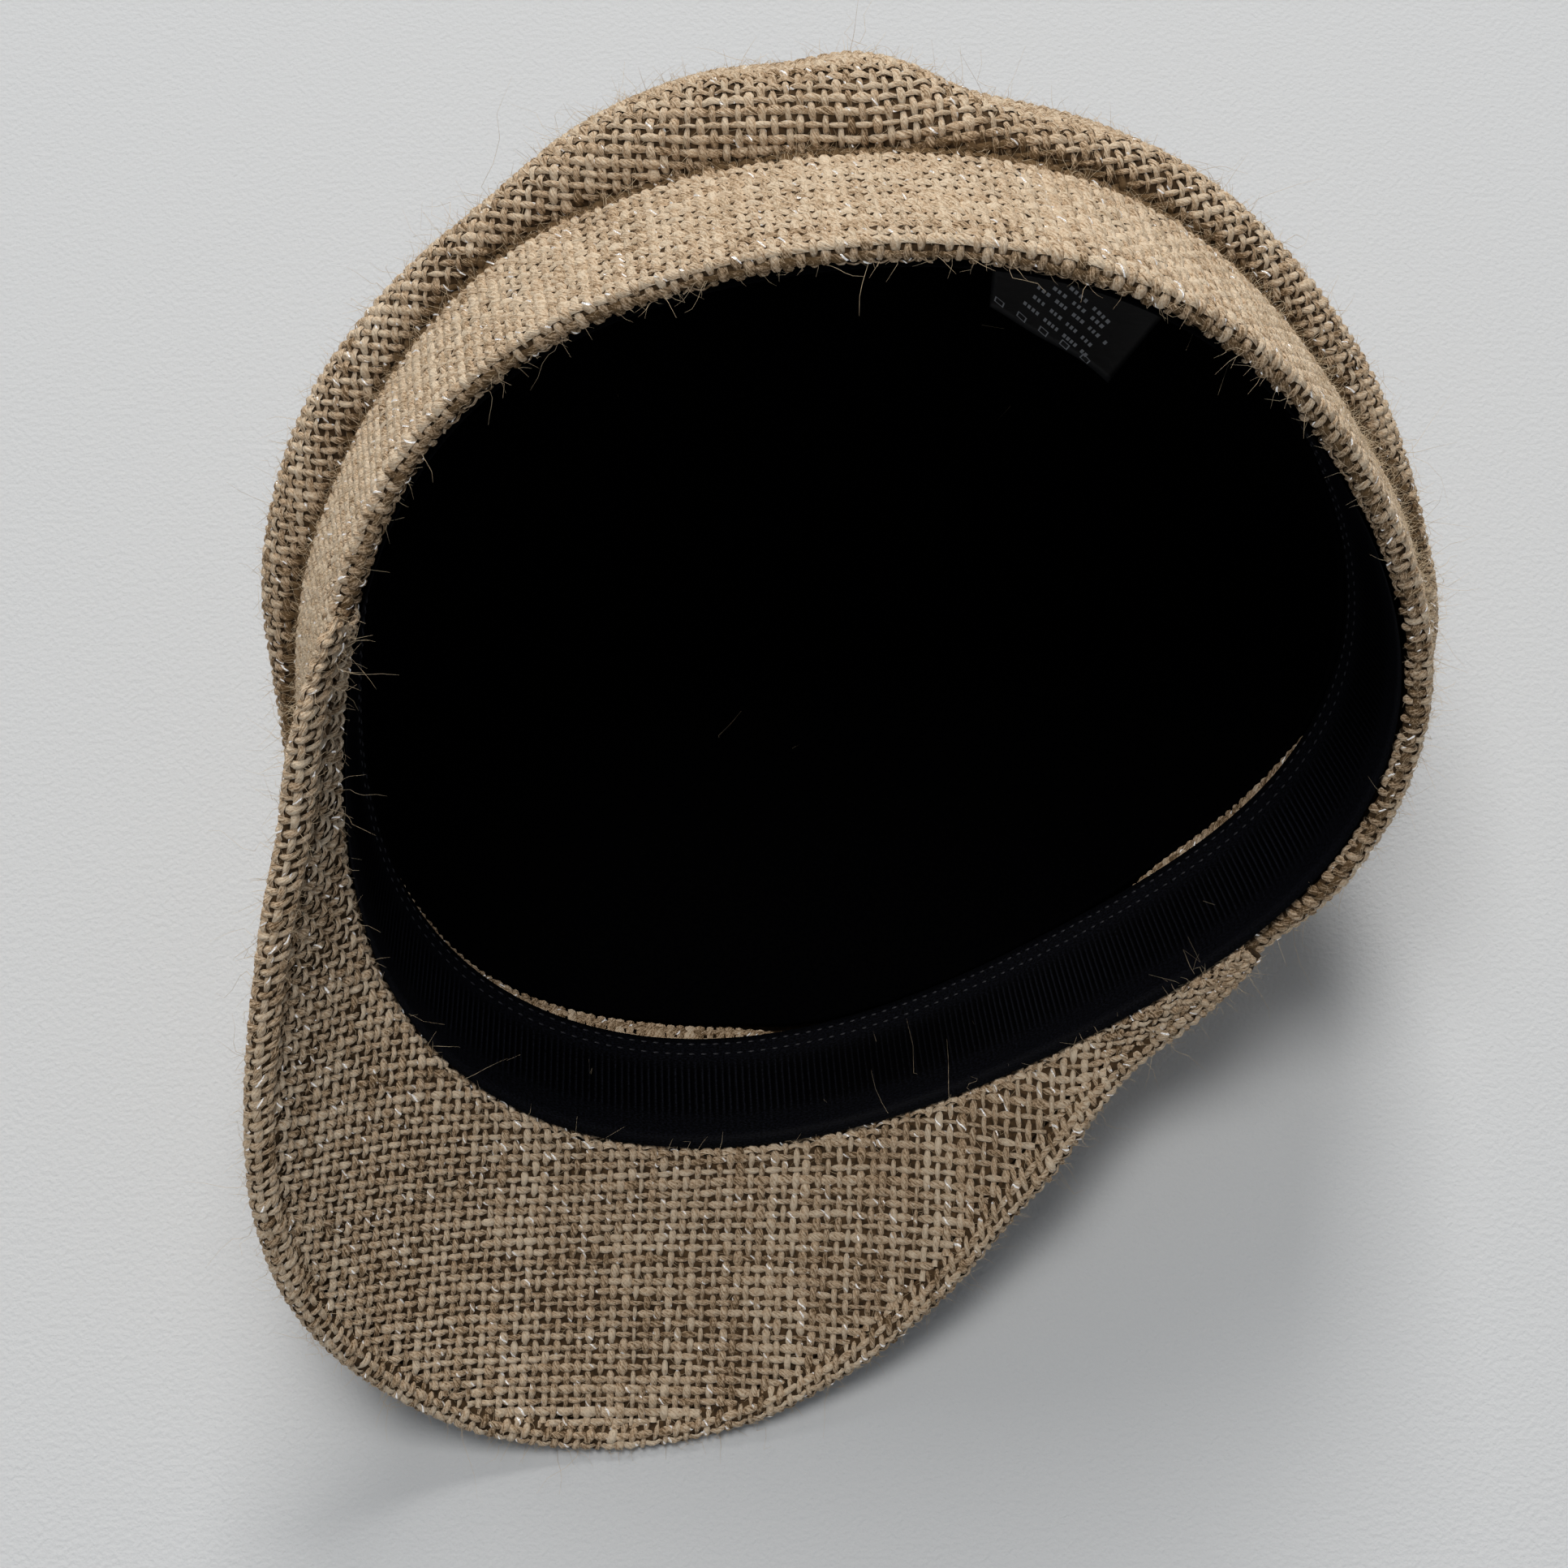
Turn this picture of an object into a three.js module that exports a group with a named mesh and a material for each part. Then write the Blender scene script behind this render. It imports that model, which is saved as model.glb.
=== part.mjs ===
// A soft peaked cap of natural jute cloth with a black lining, lying upside down on a table.
// Every shape is first worked out in the cap's own frame and then laid on the table.
// In the cap's frame u is the wearer's right, v is forward and w runs from the rim to the crown.
// Angles run round the rim in degrees, from the front centre towards the wearer's right.
// A place in a wall is named by "out", its distance outside the rim's inner line,
// and "down", its depth from the rim towards the crown.
import * as THREE from 'three';

// Rim of the head opening, its inner line, in millimetres.
const RIM_RADIUS = 89.9;
// The rim is not quite round or flat. Each row is a wave round it: the shares of the radius
// and the lifts, both for the cosine and the sine part.
const RIM_WAVES = [
  { wave: 2, cos: 0.035, sin: -0.030, liftCos: -6.0, liftSin: 1.2 },
  { wave: 3, cos: 0.024, sin: -0.018, liftCos: 1.8, liftSin: 1.9 },
  { wave: 4, cos: 0.016, sin: 0.004, liftCos: 0, liftSin: 0 },
  { wave: 5, cos: -0.007, sin: -0.003, liftCos: 0, liftSin: 0 },
];
// Depth at which the waves of the rim have died out.
const WAVES_END = 90;

// Band, the upright strip of cloth round the head.
const BAND_HEIGHT = 29;
const BAND_WALL = 2.4;
const HEM_WIDTH = 3.6;
const HEM_ROUND = 1.3;
const HEM_STEPS = 4;
// Depth of the folded hem inside the band.
const HEM_FOLD = 3.6;
// Gap kept between pieces that are sewn together.
const SEAM_GAP = 0.4;

// Crown. The cloth leaves the band's foot in a round roll and runs over into the soft top.
// Foot is how far the band's outer face leans out where the crown is sewn to it, and roll is
// the radius of the puffed roll there. The uneven rows are the dents and humps of the cloth.
const CROWN_ROWS = [
  { angle: -180, foot: 3.4, roll: 5.9 },
  { angle: -165, foot: 3.8, roll: 5.0 },
  { angle: -154, foot: 4.1, roll: 9.6 },
  { angle: -146, foot: 4.7, roll: 9.1 },
  { angle: -138, foot: 5.4, roll: 9.8 },
  { angle: -128, foot: 5.9, roll: 9.0 },
  { angle: -115, foot: 6.4, roll: 5.9 },
  { angle: -100, foot: 5.3, roll: 6.9 },
  { angle: -85, foot: 6.0, roll: 8.0 },
  { angle: -70, foot: 8.0, roll: 6.5 },
  { angle: -55, foot: 7.9, roll: 3.4 },
  { angle: -35, foot: 5.6, roll: 6.0 },
  { angle: 0, foot: 2.4, roll: 7.2 },
  { angle: 35, foot: 1.4, roll: 7.4 },
  { angle: 65, foot: 2.8, roll: 7.6 },
  { angle: 90, foot: 5.4, roll: 8.0 },
  { angle: 112, foot: 7.0, roll: 6.4 },
  { angle: 128, foot: 6.4, roll: 3.2 },
  { angle: 145, foot: 3.3, roll: 6.0 },
  { angle: 162, foot: 2.7, roll: 6.2 },
];
const CROWN_WALL = 2;
const CROWN_DEPTH = 104;
// Turn of the roll, from where it is tucked in at the seam to where the top begins.
const ROLL_START = -25;
const ROLL_END = 130;
// How quickly the top's profile levels out towards its middle.
const TOP_FLATNESS = 5;
const TOP_EDGE_INSET = 2.6;
// Power that crowds the top's rows of facets towards its edge.
const TOP_CROWDING = 1.3;

// Lining, a thin black dome inside the crown.
const LINING_WALL = 1.2;
const LINING_INSET = 4.4;
const LINING_CLEAR = 1.3;

// Sweatband, a ribbed ribbon sewn to the rim, with its other edge free.
const SWEATBAND_WALL = 1.1;
const SWEATBAND_TOP = 0.9;
const SWEATBAND_EDGE = 28.5;
const SWEATBAND_CLEAR = 0.3;
const SWEATBAND_STEPS = 3;
// Power of the curve by which it leans in.
const SWEATBAND_CURVE = 1.5;
// How far the free edge leans in from the rim's line.
const SWEATBAND_ROWS = [
  { angle: -180, lean: 4.5 },
  { angle: -100, lean: 3.5 },
  { angle: -50, lean: 3.0 },
  { angle: 0, lean: 2.8 },
  { angle: 35, lean: 4.6 },
  { angle: 70, lean: 6.2 },
  { angle: 105, lean: 5.6 },
  { angle: 150, lean: 4.5 },
];

// Peak. It slopes and arches like a visor, and its edge is given by its distance from the
// cap's middle, as seen along w.
const PEAK_LEFT = -79;
const PEAK_RIGHT = 82;
const PEAK_OUTLINE = [
  { angle: -79, reach: 91.6 },
  { angle: -72, reach: 93.1 },
  { angle: -60, reach: 95.6 },
  { angle: -52, reach: 100.6 },
  { angle: -44, reach: 107.3 },
  { angle: -36, reach: 116.2 },
  { angle: -27, reach: 127.7 },
  { angle: -18, reach: 138.1 },
  { angle: -9, reach: 144.9 },
  { angle: 0, reach: 147.2 },
  { angle: 9, reach: 143.4 },
  { angle: 18, reach: 134.1 },
  { angle: 27, reach: 121.6 },
  { angle: 36, reach: 109.1 },
  { angle: 44, reach: 99.3 },
  { angle: 50, reach: 94.5 },
  { angle: 55, reach: 92.3 },
  { angle: 61, reach: 91.7 },
  { angle: 66, reach: 91.7 },
  { angle: 71, reach: 91.4 },
  { angle: 76, reach: 90.9 },
  { angle: 82, reach: 90.2 },
];
// The arch is measured at the rim's line, between these two angles. Past the right one the
// peak flattens into a narrow tail that lies along the rim.
const ARCH_LEFT = -79;
const ARCH_RIGHT = 61;
const TAIL_START = 48;
const TAIL_END = 66;
// Gap between the tail's roll and the band's hem.
const TAIL_CLEAR = 0.8;
// Angle over which the hem comes back up beyond the tail.
const TAIL_BLEND = 13;
const PEAK_SLOPE = 30;
const PEAK_THICKNESS = 3.6;
const PEAK_LEAST_WIDTH = 3.3;
// Towards both ends the peak gets thinner, over this many degrees and to this share.
const PEAK_TAPER = 16;
const PEAK_TAIL_TAPER = 36;
const PEAK_END_SHARE = 0.4;
// The cover's cloth wraps the edge in a roll that ends at a stitched groove. On a narrow
// stretch the groove takes at most this share of the width.
const PEAK_ROLL = 2.3;
const PEAK_GROOVE = 4.6;
const PEAK_GROOVE_SHARE = 0.8;
// Height of the roll's lip at the groove, as a share of the peak's half thickness.
const PEAK_LIP = 0.9;
// The underside's cloth is left off where less than this much of it would show.
const PEAK_UNDERSIDE_LEAST = 2.5;
// Distance of the two cloths from the surface between them, and how much the underside's
// edge is rounded at the groove, as a share of its thickness.
const PEAK_SPLIT = 0.15;
const PEAK_ROUNDED = 0.2;
// How far inside the rim's line the near side starts.
const PEAK_TUCK = 0.1;
// The band's hem sits this much lower where the peak is sewn over it.
const PEAK_SEAT = 3.1;
const PEAK_SEAT_BLEND = 4;

// Satin label, a small flap sewn at the back where the sweatband meets the lining.
const LABEL_THICKNESS = 0.7;
// Its seam runs between two angles at the sweatband's free edge. Its free corners are given
// in the cap's frame.
const LABEL_LEFT = -166;
const LABEL_RIGHT = 171;
const LABEL_FREE_LEFT = [-9, -65, 35];
const LABEL_FREE_RIGHT = [17, -61, 37];
const LABEL_BOW = 1.2;
const LABEL_STEPS_ACROSS = 6;
const LABEL_STEPS_ALONG = 4;

// How the cap lies: the turn of its front, the tilt of its opening and the turn on the table.
const FRONT_TURN = -31.2;
const OPENING_TILT = 56;
const TABLE_TURN = 4.9;
// Height of the middle of the rim over the table.
const RIM_HEIGHT = 93.5;
// Depth over which the crown's cloth bends into the flat patch that it rests on.
const PATCH_BLEND = 4;

// Steps round the cap and along each wall.
const STEPS_ROUND = 64;
const ROLL_STEPS = 8;
const TOP_STEPS = 7;
const PEAK_STEPS = 40;
const PEAK_ROWS = 8;

const rad = THREE.MathUtils.degToRad;

// Smooth periodic curve through the rows of a table, by their angles.
function tableAt(rows, column, angle) {
  const count = rows.length;
  const first = rows[0].angle;
  const turn = ((((angle - first) % 360) + 360) % 360) + first;
  let i = 0;
  while (i + 1 < count && rows[i + 1].angle <= turn) i += 1;
  const row = (k) => {
    const wrapped = ((k % count) + count) % count;
    const angle = rows[wrapped].angle + 360 * Math.floor(k / count);
    return { angle, value: rows[wrapped][column] };
  };
  const [before, from, to, after] = [row(i - 1), row(i), row(i + 1), row(i + 2)];
  const span = to.angle - from.angle;
  const share = (turn - from.angle) / span;
  const slopeFrom = ((to.value - before.value) / (to.angle - before.angle)) * span;
  const slopeTo = ((after.value - from.value) / (after.angle - from.angle)) * span;
  const square = share * share;
  const cube = square * share;
  return (2 * cube - 3 * square + 1) * from.value + (cube - 2 * square + share) * slopeFrom
    + (3 * square - 2 * cube) * to.value + (cube - square) * slopeTo;
}

function rimRadius(angle) {
  let share = 1;
  for (const { wave, cos, sin } of RIM_WAVES) {
    share += cos * Math.cos(wave * rad(angle)) + sin * Math.sin(wave * rad(angle));
  }
  return RIM_RADIUS * share;
}

function rimLift(angle) {
  let lift = 0;
  for (const { wave, liftCos, liftSin } of RIM_WAVES) {
    lift += liftCos * Math.cos(wave * rad(angle)) + liftSin * Math.sin(wave * rad(angle));
  }
  return lift;
}

// Point of a wall in the cap's frame.
function wallPoint(angle, out, down) {
  const radius = rimRadius(angle) + out;
  const lift = rimLift(angle) * THREE.MathUtils.clamp(1 - down / WAVES_END, 0, 1);
  return new THREE.Vector3(radius * Math.sin(rad(angle)), radius * Math.cos(rad(angle)), down + lift);
}

// Smooth step from 0 to 1 between two angles.
function ease(from, to, value) {
  return THREE.MathUtils.smoothstep(value, from, to);
}

// Share of the peak's full thickness: 1 in its middle and less towards its ends.
function peakShare(angle) {
  const rise = ease(PEAK_LEFT, PEAK_LEFT + PEAK_TAPER, angle);
  const fall = ease(PEAK_RIGHT - PEAK_TAIL_TAPER, PEAK_RIGHT, angle);
  return THREE.MathUtils.lerp(PEAK_END_SHARE, 1, rise * (1 - fall));
}

// How far the peak has flattened into its tail along the rim, from 0 to 1.
function tailShare(angle) {
  return ease(TAIL_START, TAIL_END, angle);
}

// How much lower the band's hem sits to make room for the peak. In the tail that is the whole
// thickness of its roll.
function peakSeat(angle) {
  const rise = ease(PEAK_LEFT - PEAK_SEAT_BLEND, PEAK_LEFT, angle);
  const fall = ease(PEAK_RIGHT, PEAK_RIGHT + TAIL_BLEND, angle);
  const share = peakShare(angle);
  const tail = (PEAK_THICKNESS / 2 + PEAK_ROLL) * share + TAIL_CLEAR;
  return THREE.MathUtils.lerp(PEAK_SEAT * share, tail, tailShare(angle)) * rise * (1 - fall);
}

// Turns a point of the cap's frame into its place on the table. Cloth that would reach below
// the floor height is flattened there, with a short bend round the patch.
const lying = new THREE.Matrix4().makeRotationZ(rad(TABLE_TURN))
  .multiply(new THREE.Matrix4().makeRotationX(rad(OPENING_TILT)))
  .multiply(new THREE.Matrix4().makeRotationZ(rad(FRONT_TURN)))
  .multiply(new THREE.Matrix4().makeScale(1, -1, -1));

function layDown(point, floor) {
  const placed = point.clone().applyMatrix4(lying);
  placed.z += RIM_HEIGHT;
  const over = placed.z - floor;
  if (over < -PATCH_BLEND) placed.z = floor;
  else if (over < PATCH_BLEND) placed.z = floor + (over + PATCH_BLEND) ** 2 / (4 * PATCH_BLEND);
  return placed;
}

// Closed body from a grid of points. Rows run along the sweep and each row is a closed loop.
// The sweep either closes on itself, ends in flat caps, or ends in single pole points.
function solidFromLoops(loops, ends) {
  const positions = [];
  const triangles = [];
  const loopSize = loops[0].length;
  for (const loop of loops) {
    for (const point of loop) positions.push(point.x, point.y, point.z);
  }
  const rows = loops.length;
  const quad = (a, b, c, d) => triangles.push(a, b, c, a, c, d);
  const lastRow = ends === 'ring' ? rows : rows - 1;
  for (let i = 0; i < lastRow; i += 1) {
    const next = (i + 1) % rows;
    for (let j = 0; j < loopSize; j += 1) {
      const side = (j + 1) % loopSize;
      quad(i * loopSize + j, next * loopSize + j, next * loopSize + side, i * loopSize + side);
    }
  }
  if (ends === 'caps') {
    // Each loop goes out along one face and back along the other, so a cap is a strip.
    const half = loopSize / 2;
    const base = (rows - 1) * loopSize;
    for (let j = 0; j + 1 < half; j += 1) {
      const across = loopSize - 1 - j;
      quad(j, j + 1, across - 1, across);
      quad(base + j, base + across, base + across - 1, base + j + 1);
    }
  }
  if (ends === 'poles') {
    for (const [row, start] of [[0, 0], [rows - 1, (rows - 1) * loopSize]]) {
      const centre = new THREE.Vector3();
      for (const point of loops[row]) centre.add(point);
      centre.divideScalar(loopSize);
      const pole = positions.length / 3;
      positions.push(centre.x, centre.y, centre.z);
      for (let j = 0; j < loopSize; j += 1) {
        const side = (j + 1) % loopSize;
        if (row === 0) triangles.push(pole, start + j, start + side);
        else triangles.push(pole, start + side, start + j);
      }
    }
  }
  return facingOut(positions, triangles);
}

// Turns all triangles round where the body's volume would come out negative.
function facingOut(positions, triangles) {
  let volume = 0;
  const corner = (k) => new THREE.Vector3(...positions.slice(3 * k, 3 * k + 3));
  for (let k = 0; k < triangles.length; k += 3) {
    const [a, b, c] = [corner(triangles[k]), corner(triangles[k + 1]), corner(triangles[k + 2])];
    volume += a.dot(b.cross(c));
  }
  if (volume < 0) {
    for (let k = 0; k < triangles.length; k += 3) {
      [triangles[k + 1], triangles[k + 2]] = [triangles[k + 2], triangles[k + 1]];
    }
  }
  const geometry = new THREE.BufferGeometry();
  geometry.setAttribute('position', new THREE.Float32BufferAttribute(positions, 3));
  geometry.setIndex(triangles);
  geometry.computeVertexNormals();
  return geometry;
}

// Angles evenly round the cap.
function round(steps) {
  return Array.from({ length: steps }, (_, i) => -180 + (360 * i) / steps);
}

// The band: a rounded hem at the rim, and a wall that leans out to the crown's seam.
function bandGeometry() {
  const loops = round(STEPS_ROUND).map((angle) => {
    const rim = peakSeat(angle);
    const foot = tableAt(CROWN_ROWS, 'foot', angle);
    const end = BAND_HEIGHT - SEAM_GAP;
    const middle = (rim + end) / 2;
    const hem = Array.from({ length: HEM_STEPS + 1 }, (_, i) => {
      const turn = (Math.PI * i) / HEM_STEPS;
      return [(HEM_WIDTH / 2) * (1 - Math.cos(turn)), rim + HEM_ROUND * (1 - Math.sin(turn))];
    });
    const section = [
      ...hem,
      [(HEM_WIDTH + foot) / 2, middle],
      [foot, end],
      [foot - BAND_WALL, end],
      [(HEM_WIDTH + foot) / 2 - BAND_WALL, middle],
      [HEM_WIDTH - BAND_WALL, rim + HEM_FOLD],
    ];
    return section.map(([out, down]) => layDown(wallPoint(angle, out, down), 0));
  });
  return solidFromLoops(loops, 'ring');
}

// Out and down of the crown's roll, at a share of its turn and a depth under its outer face.
function rollPlace(angle, share, under) {
  const turn = rad(THREE.MathUtils.lerp(ROLL_START, ROLL_END, share));
  const roll = tableAt(CROWN_ROWS, 'roll', angle);
  const foot = tableAt(CROWN_ROWS, 'foot', angle);
  return {
    out: foot + (roll - under) * Math.sin(turn),
    down: BAND_HEIGHT + roll - (roll - under) * Math.cos(turn),
  };
}

function rollPoint(angle, share, under) {
  const { out, down } = rollPlace(angle, share, under);
  return layDown(wallPoint(angle, out, down), under);
}

// The puffed roll between the band and the top.
function crownSideGeometry() {
  const shares = Array.from({ length: ROLL_STEPS + 1 }, (_, i) => i / ROLL_STEPS);
  const loops = round(STEPS_ROUND).map((angle) => [
    ...shares.map((share) => rollPoint(angle, share, 0)),
    ...shares.toReversed().map((share) => rollPoint(angle, share, CROWN_WALL)),
  ]);
  return solidFromLoops(loops, 'ring');
}

// Point of a dome that starts at the end of the roll: inset from the crown's outer face,
// and share 0 at its edge and 1 at its middle.
function domePoint(angle, share, inset, floor) {
  const { out, down } = rollPlace(angle, 1, 0);
  const edge = wallPoint(angle, out - inset, down + SEAM_GAP);
  const depth = CROWN_DEPTH - Math.min(inset, floor + SEAM_GAP);
  const fill = 1 - (1 - share) ** TOP_FLATNESS;
  const left = 1 - share;
  return layDown(new THREE.Vector3(
    edge.x * left,
    edge.y * left,
    THREE.MathUtils.lerp(edge.z, depth, fill),
  ), floor);
}

// Shares of the way to the middle, closer together near the edge.
function domeShares(steps) {
  return Array.from({ length: steps }, (_, i) => (i / steps) ** TOP_CROWDING);
}

// The soft top, a dome with the wall of one cloth.
function crownTopGeometry() {
  const shares = domeShares(TOP_STEPS);
  const ring = (share, inset) => round(STEPS_ROUND).map(
    (angle) => domePoint(angle, share, inset, inset > 0 ? CROWN_WALL : 0),
  );
  const loops = [
    ...shares.toReversed().map((share) => ring(share, 0)),
    ...shares.map((share) => ring(share, TOP_EDGE_INSET)),
  ];
  return solidFromLoops(loops, 'poles');
}

// The lining: a short upright part from the band's seam, then a dome inside the top.
function liningGeometry() {
  const shares = domeShares(TOP_STEPS);
  const outerFloor = CROWN_WALL + LINING_CLEAR;
  const edge = (angle, under, down) => {
    const start = rollPlace(angle, 0, 0);
    return layDown(wallPoint(angle, start.out - SEAM_GAP - under, down), outerFloor + under);
  };
  const ring = (share, under) => round(STEPS_ROUND).map(
    (angle) => domePoint(angle, share, LINING_INSET + under, outerFloor + under),
  );
  const edgeRing = (under) => round(STEPS_ROUND).map(
    (angle) => edge(angle, under, BAND_HEIGHT + 2 * SEAM_GAP),
  );
  const loops = [
    ...shares.toReversed().map((share) => ring(share, 0)),
    edgeRing(0),
    edgeRing(LINING_WALL),
    ...shares.map((share) => ring(share, LINING_WALL)),
  ];
  return solidFromLoops(loops, 'poles');
}

// The ribbed sweatband, flat against the band at the rim and leaning in at its free edge.
function sweatbandGeometry() {
  const shares = Array.from({ length: SWEATBAND_STEPS + 1 }, (_, i) => i / SWEATBAND_STEPS);
  const loops = round(STEPS_ROUND).map((angle) => {
    const lean = tableAt(SWEATBAND_ROWS, 'lean', angle) - SWEATBAND_CLEAR - SWEATBAND_WALL;
    const place = (share, under) => {
      const out = -SWEATBAND_CLEAR - under - lean * share ** SWEATBAND_CURVE;
      const down = THREE.MathUtils.lerp(SWEATBAND_TOP, SWEATBAND_EDGE, share);
      return layDown(wallPoint(angle, out, down), 0);
    };
    return [
      ...shares.map((share) => place(share, 0)),
      ...shares.toReversed().map((share) => place(share, SWEATBAND_WALL)),
    ];
  });
  return solidFromLoops(loops, 'ring');
}

// The peak's sloped and arched middle surface: the arch brings both ends up to the rim.
const frontRadius = rimRadius(0);
const leftCorner = wallPoint(ARCH_LEFT, 0, 0);
const rightCorner = wallPoint(ARCH_RIGHT, 0, 0);
const cornerForward = (leftCorner.y + rightCorner.y) / 2;
const cornerOut = (rightCorner.x - leftCorner.x) / 2;
const slope = Math.tan(rad(PEAK_SLOPE));
const arch = (slope * (frontRadius - cornerForward)) / cornerOut ** 2;

function peakHeight(u, v) {
  return -slope * (v - frontRadius) - arch * u * u;
}

// Direction at right angles to the peak, on the side that faces the wearer's eyes.
function peakFacing(u, angle) {
  const sloped = 1 - tailShare(angle);
  return new THREE.Vector3(-2 * arch * u * sloped, -slope * sloped, -1).normalize();
}

// Point of the peak at a distance in from its edge and a height over its middle surface.
// Near the rim the surface bends so that the peak's near side meets the rim's line.
function peakPoint({ angle, inner, edge, half }, inward, over) {
  const radius = edge - inward;
  const u = radius * Math.sin(rad(angle));
  const v = radius * Math.cos(rad(angle));
  const rim = wallPoint(angle, 0, 0);
  const toRim = THREE.MathUtils.clamp(inward / (edge - inner), 0, 1);
  const seam = (rim.z + half - peakHeight(rim.x, rim.y)) * toRim ** 2;
  const w = THREE.MathUtils.lerp(peakHeight(u, v) + seam, rim.z + half, tailShare(angle));
  return new THREE.Vector3(u, v, w).addScaledVector(peakFacing(u, angle), over);
}

// Stations along the peak, each with its radii, half thickness and place of the groove.
const peakStations = Array.from({ length: PEAK_STEPS + 1 }, (_, i) => {
  const angle = THREE.MathUtils.lerp(PEAK_LEFT, PEAK_RIGHT, i / PEAK_STEPS);
  const half = (PEAK_THICKNESS / 2) * peakShare(angle);
  const rim = wallPoint(angle, 0, 0);
  const facing = peakFacing(rim.x, angle);
  const lean = facing.x * Math.sin(rad(angle)) + facing.y * Math.cos(rad(angle));
  const inner = rimRadius(angle) - PEAK_TUCK + half * Math.abs(lean);
  const edge = Math.max(tableAt(PEAK_OUTLINE, 'reach', angle), inner + PEAK_LEAST_WIDTH);
  const groove = Math.min(PEAK_GROOVE, PEAK_GROOVE_SHARE * (edge - inner));
  return { angle, inner, edge, half, groove };
});

// Distances in from the edge, from the rim out to the groove.
function peakSpread(width, groove) {
  return Array.from(
    { length: PEAK_ROWS },
    (_, i) => THREE.MathUtils.lerp(width, groove, i / (PEAK_ROWS - 1)),
  );
}

// The upper cloth of the peak, wrapped round the edge to the groove on the lower side.
function peakCoverGeometry() {
  const loops = peakStations.map((station) => {
    const { angle, inner, edge, half, groove } = station;
    const roll = PEAK_ROLL * peakShare(angle);
    const at = (inward, over) => layDown(peakPoint(station, inward, over), 0);
    const spread = peakSpread(edge - inner, groove);
    const rolled = (turn) => at(
      (groove / 2) * (1 - Math.cos(rad(turn))),
      roll * Math.sin(rad(turn)),
    );
    const farSide = [
      ...spread.map((inward) => at(inward, -half)),
      rolled(-90),
      rolled(-45),
      rolled(0),
    ];
    const nearSide = [
      ...spread.map((inward) => at(inward, -PEAK_SPLIT)),
      at(groove, half * PEAK_LIP),
      rolled(90),
      rolled(45),
    ];
    return [...farSide, ...nearSide.toReversed()];
  });
  return solidFromLoops(loops, 'caps');
}

// The lower cloth of the peak, from the rim to the stitched groove.
function peakUndersideGeometry() {
  const wide = PEAK_GROOVE + PEAK_UNDERSIDE_LEAST;
  const stations = peakStations.filter(({ inner, edge }) => edge - inner > wide);
  const loops = stations.map((station) => {
    const { inner, edge, half } = station;
    const end = PEAK_GROOVE + SEAM_GAP;
    const spread = peakSpread(edge - inner, end);
    const rounded = (inward) => (inward === end ? PEAK_ROUNDED * (half - PEAK_SPLIT) : 0);
    const at = (inward, over) => layDown(peakPoint(station, inward, over), 0);
    return [
      ...spread.map((inward) => at(inward, PEAK_SPLIT + rounded(inward))),
      ...spread.toReversed().map((inward) => at(inward, half - 2 * rounded(inward))),
    ];
  });
  return solidFromLoops(loops, 'caps');
}

// The satin label: a small bowed flap between its sewn and its free edge.
function labelGeometry() {
  const sewn = (angle) => {
    const out = SWEATBAND_WALL / 2 - tableAt(SWEATBAND_ROWS, 'lean', angle);
    return wallPoint(angle, out, SWEATBAND_EDGE + SEAM_GAP);
  };
  const corner = {
    seamLeft: sewn(LABEL_LEFT),
    seamRight: sewn(LABEL_RIGHT),
    freeLeft: new THREE.Vector3(...LABEL_FREE_LEFT),
    freeRight: new THREE.Vector3(...LABEL_FREE_RIGHT),
  };
  const across = LABEL_STEPS_ACROSS;
  const along = LABEL_STEPS_ALONG;
  const facing = corner.seamRight.clone().sub(corner.seamLeft)
    .cross(corner.freeLeft.clone().sub(corner.seamLeft)).normalize();
  const at = (i, j, over) => {
    const [s, t] = [i / across, j / along];
    const seam = corner.seamLeft.clone().lerp(corner.seamRight, s);
    const free = corner.freeLeft.clone().lerp(corner.freeRight, s);
    const bow = LABEL_BOW * Math.sin(Math.PI * s) * t;
    return layDown(seam.lerp(free, t).addScaledVector(facing, over + bow), 0);
  };
  const loops = Array.from({ length: across + 1 }, (_, i) => [
    ...Array.from({ length: along + 1 }, (_, j) => at(i, j, 0)),
    ...Array.from({ length: along + 1 }, (_, j) => at(i, along - j, LABEL_THICKNESS)),
  ]);
  return solidFromLoops(loops, 'caps');
}

const jute = { color: '#b39b7c', roughness: 0.9, metalness: 0 };
const blackCloth = { color: '#0b0b10', roughness: 0.85, metalness: 0 };
const satin = { color: '#15161c', roughness: 0.45, metalness: 0 };

const pieces = [
  ['band', bandGeometry(), jute],
  ['crown_side', crownSideGeometry(), jute],
  ['crown_top', crownTopGeometry(), jute],
  ['peak_cover', peakCoverGeometry(), jute],
  ['peak_underside', peakUndersideGeometry(), jute],
  ['sweatband', sweatbandGeometry(), blackCloth],
  ['lining', liningGeometry(), blackCloth],
  ['label', labelGeometry(), satin],
];

const cap = new THREE.Group();
for (const [name, geometry, finish] of pieces) {
  const mesh = new THREE.Mesh(geometry, new THREE.MeshStandardMaterial(finish));
  mesh.name = name;
  cap.add(mesh);
}

// The origin is under the middle of the cap, on the table.
const box = new THREE.Box3().setFromObject(cap);
const middle = box.getCenter(new THREE.Vector3());
cap.position.set(-middle.x, -middle.y, -box.min.z);
cap.updateMatrixWorld(true);

export default cap;
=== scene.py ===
import bpy
import numpy as np
from mathutils import Matrix


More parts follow.
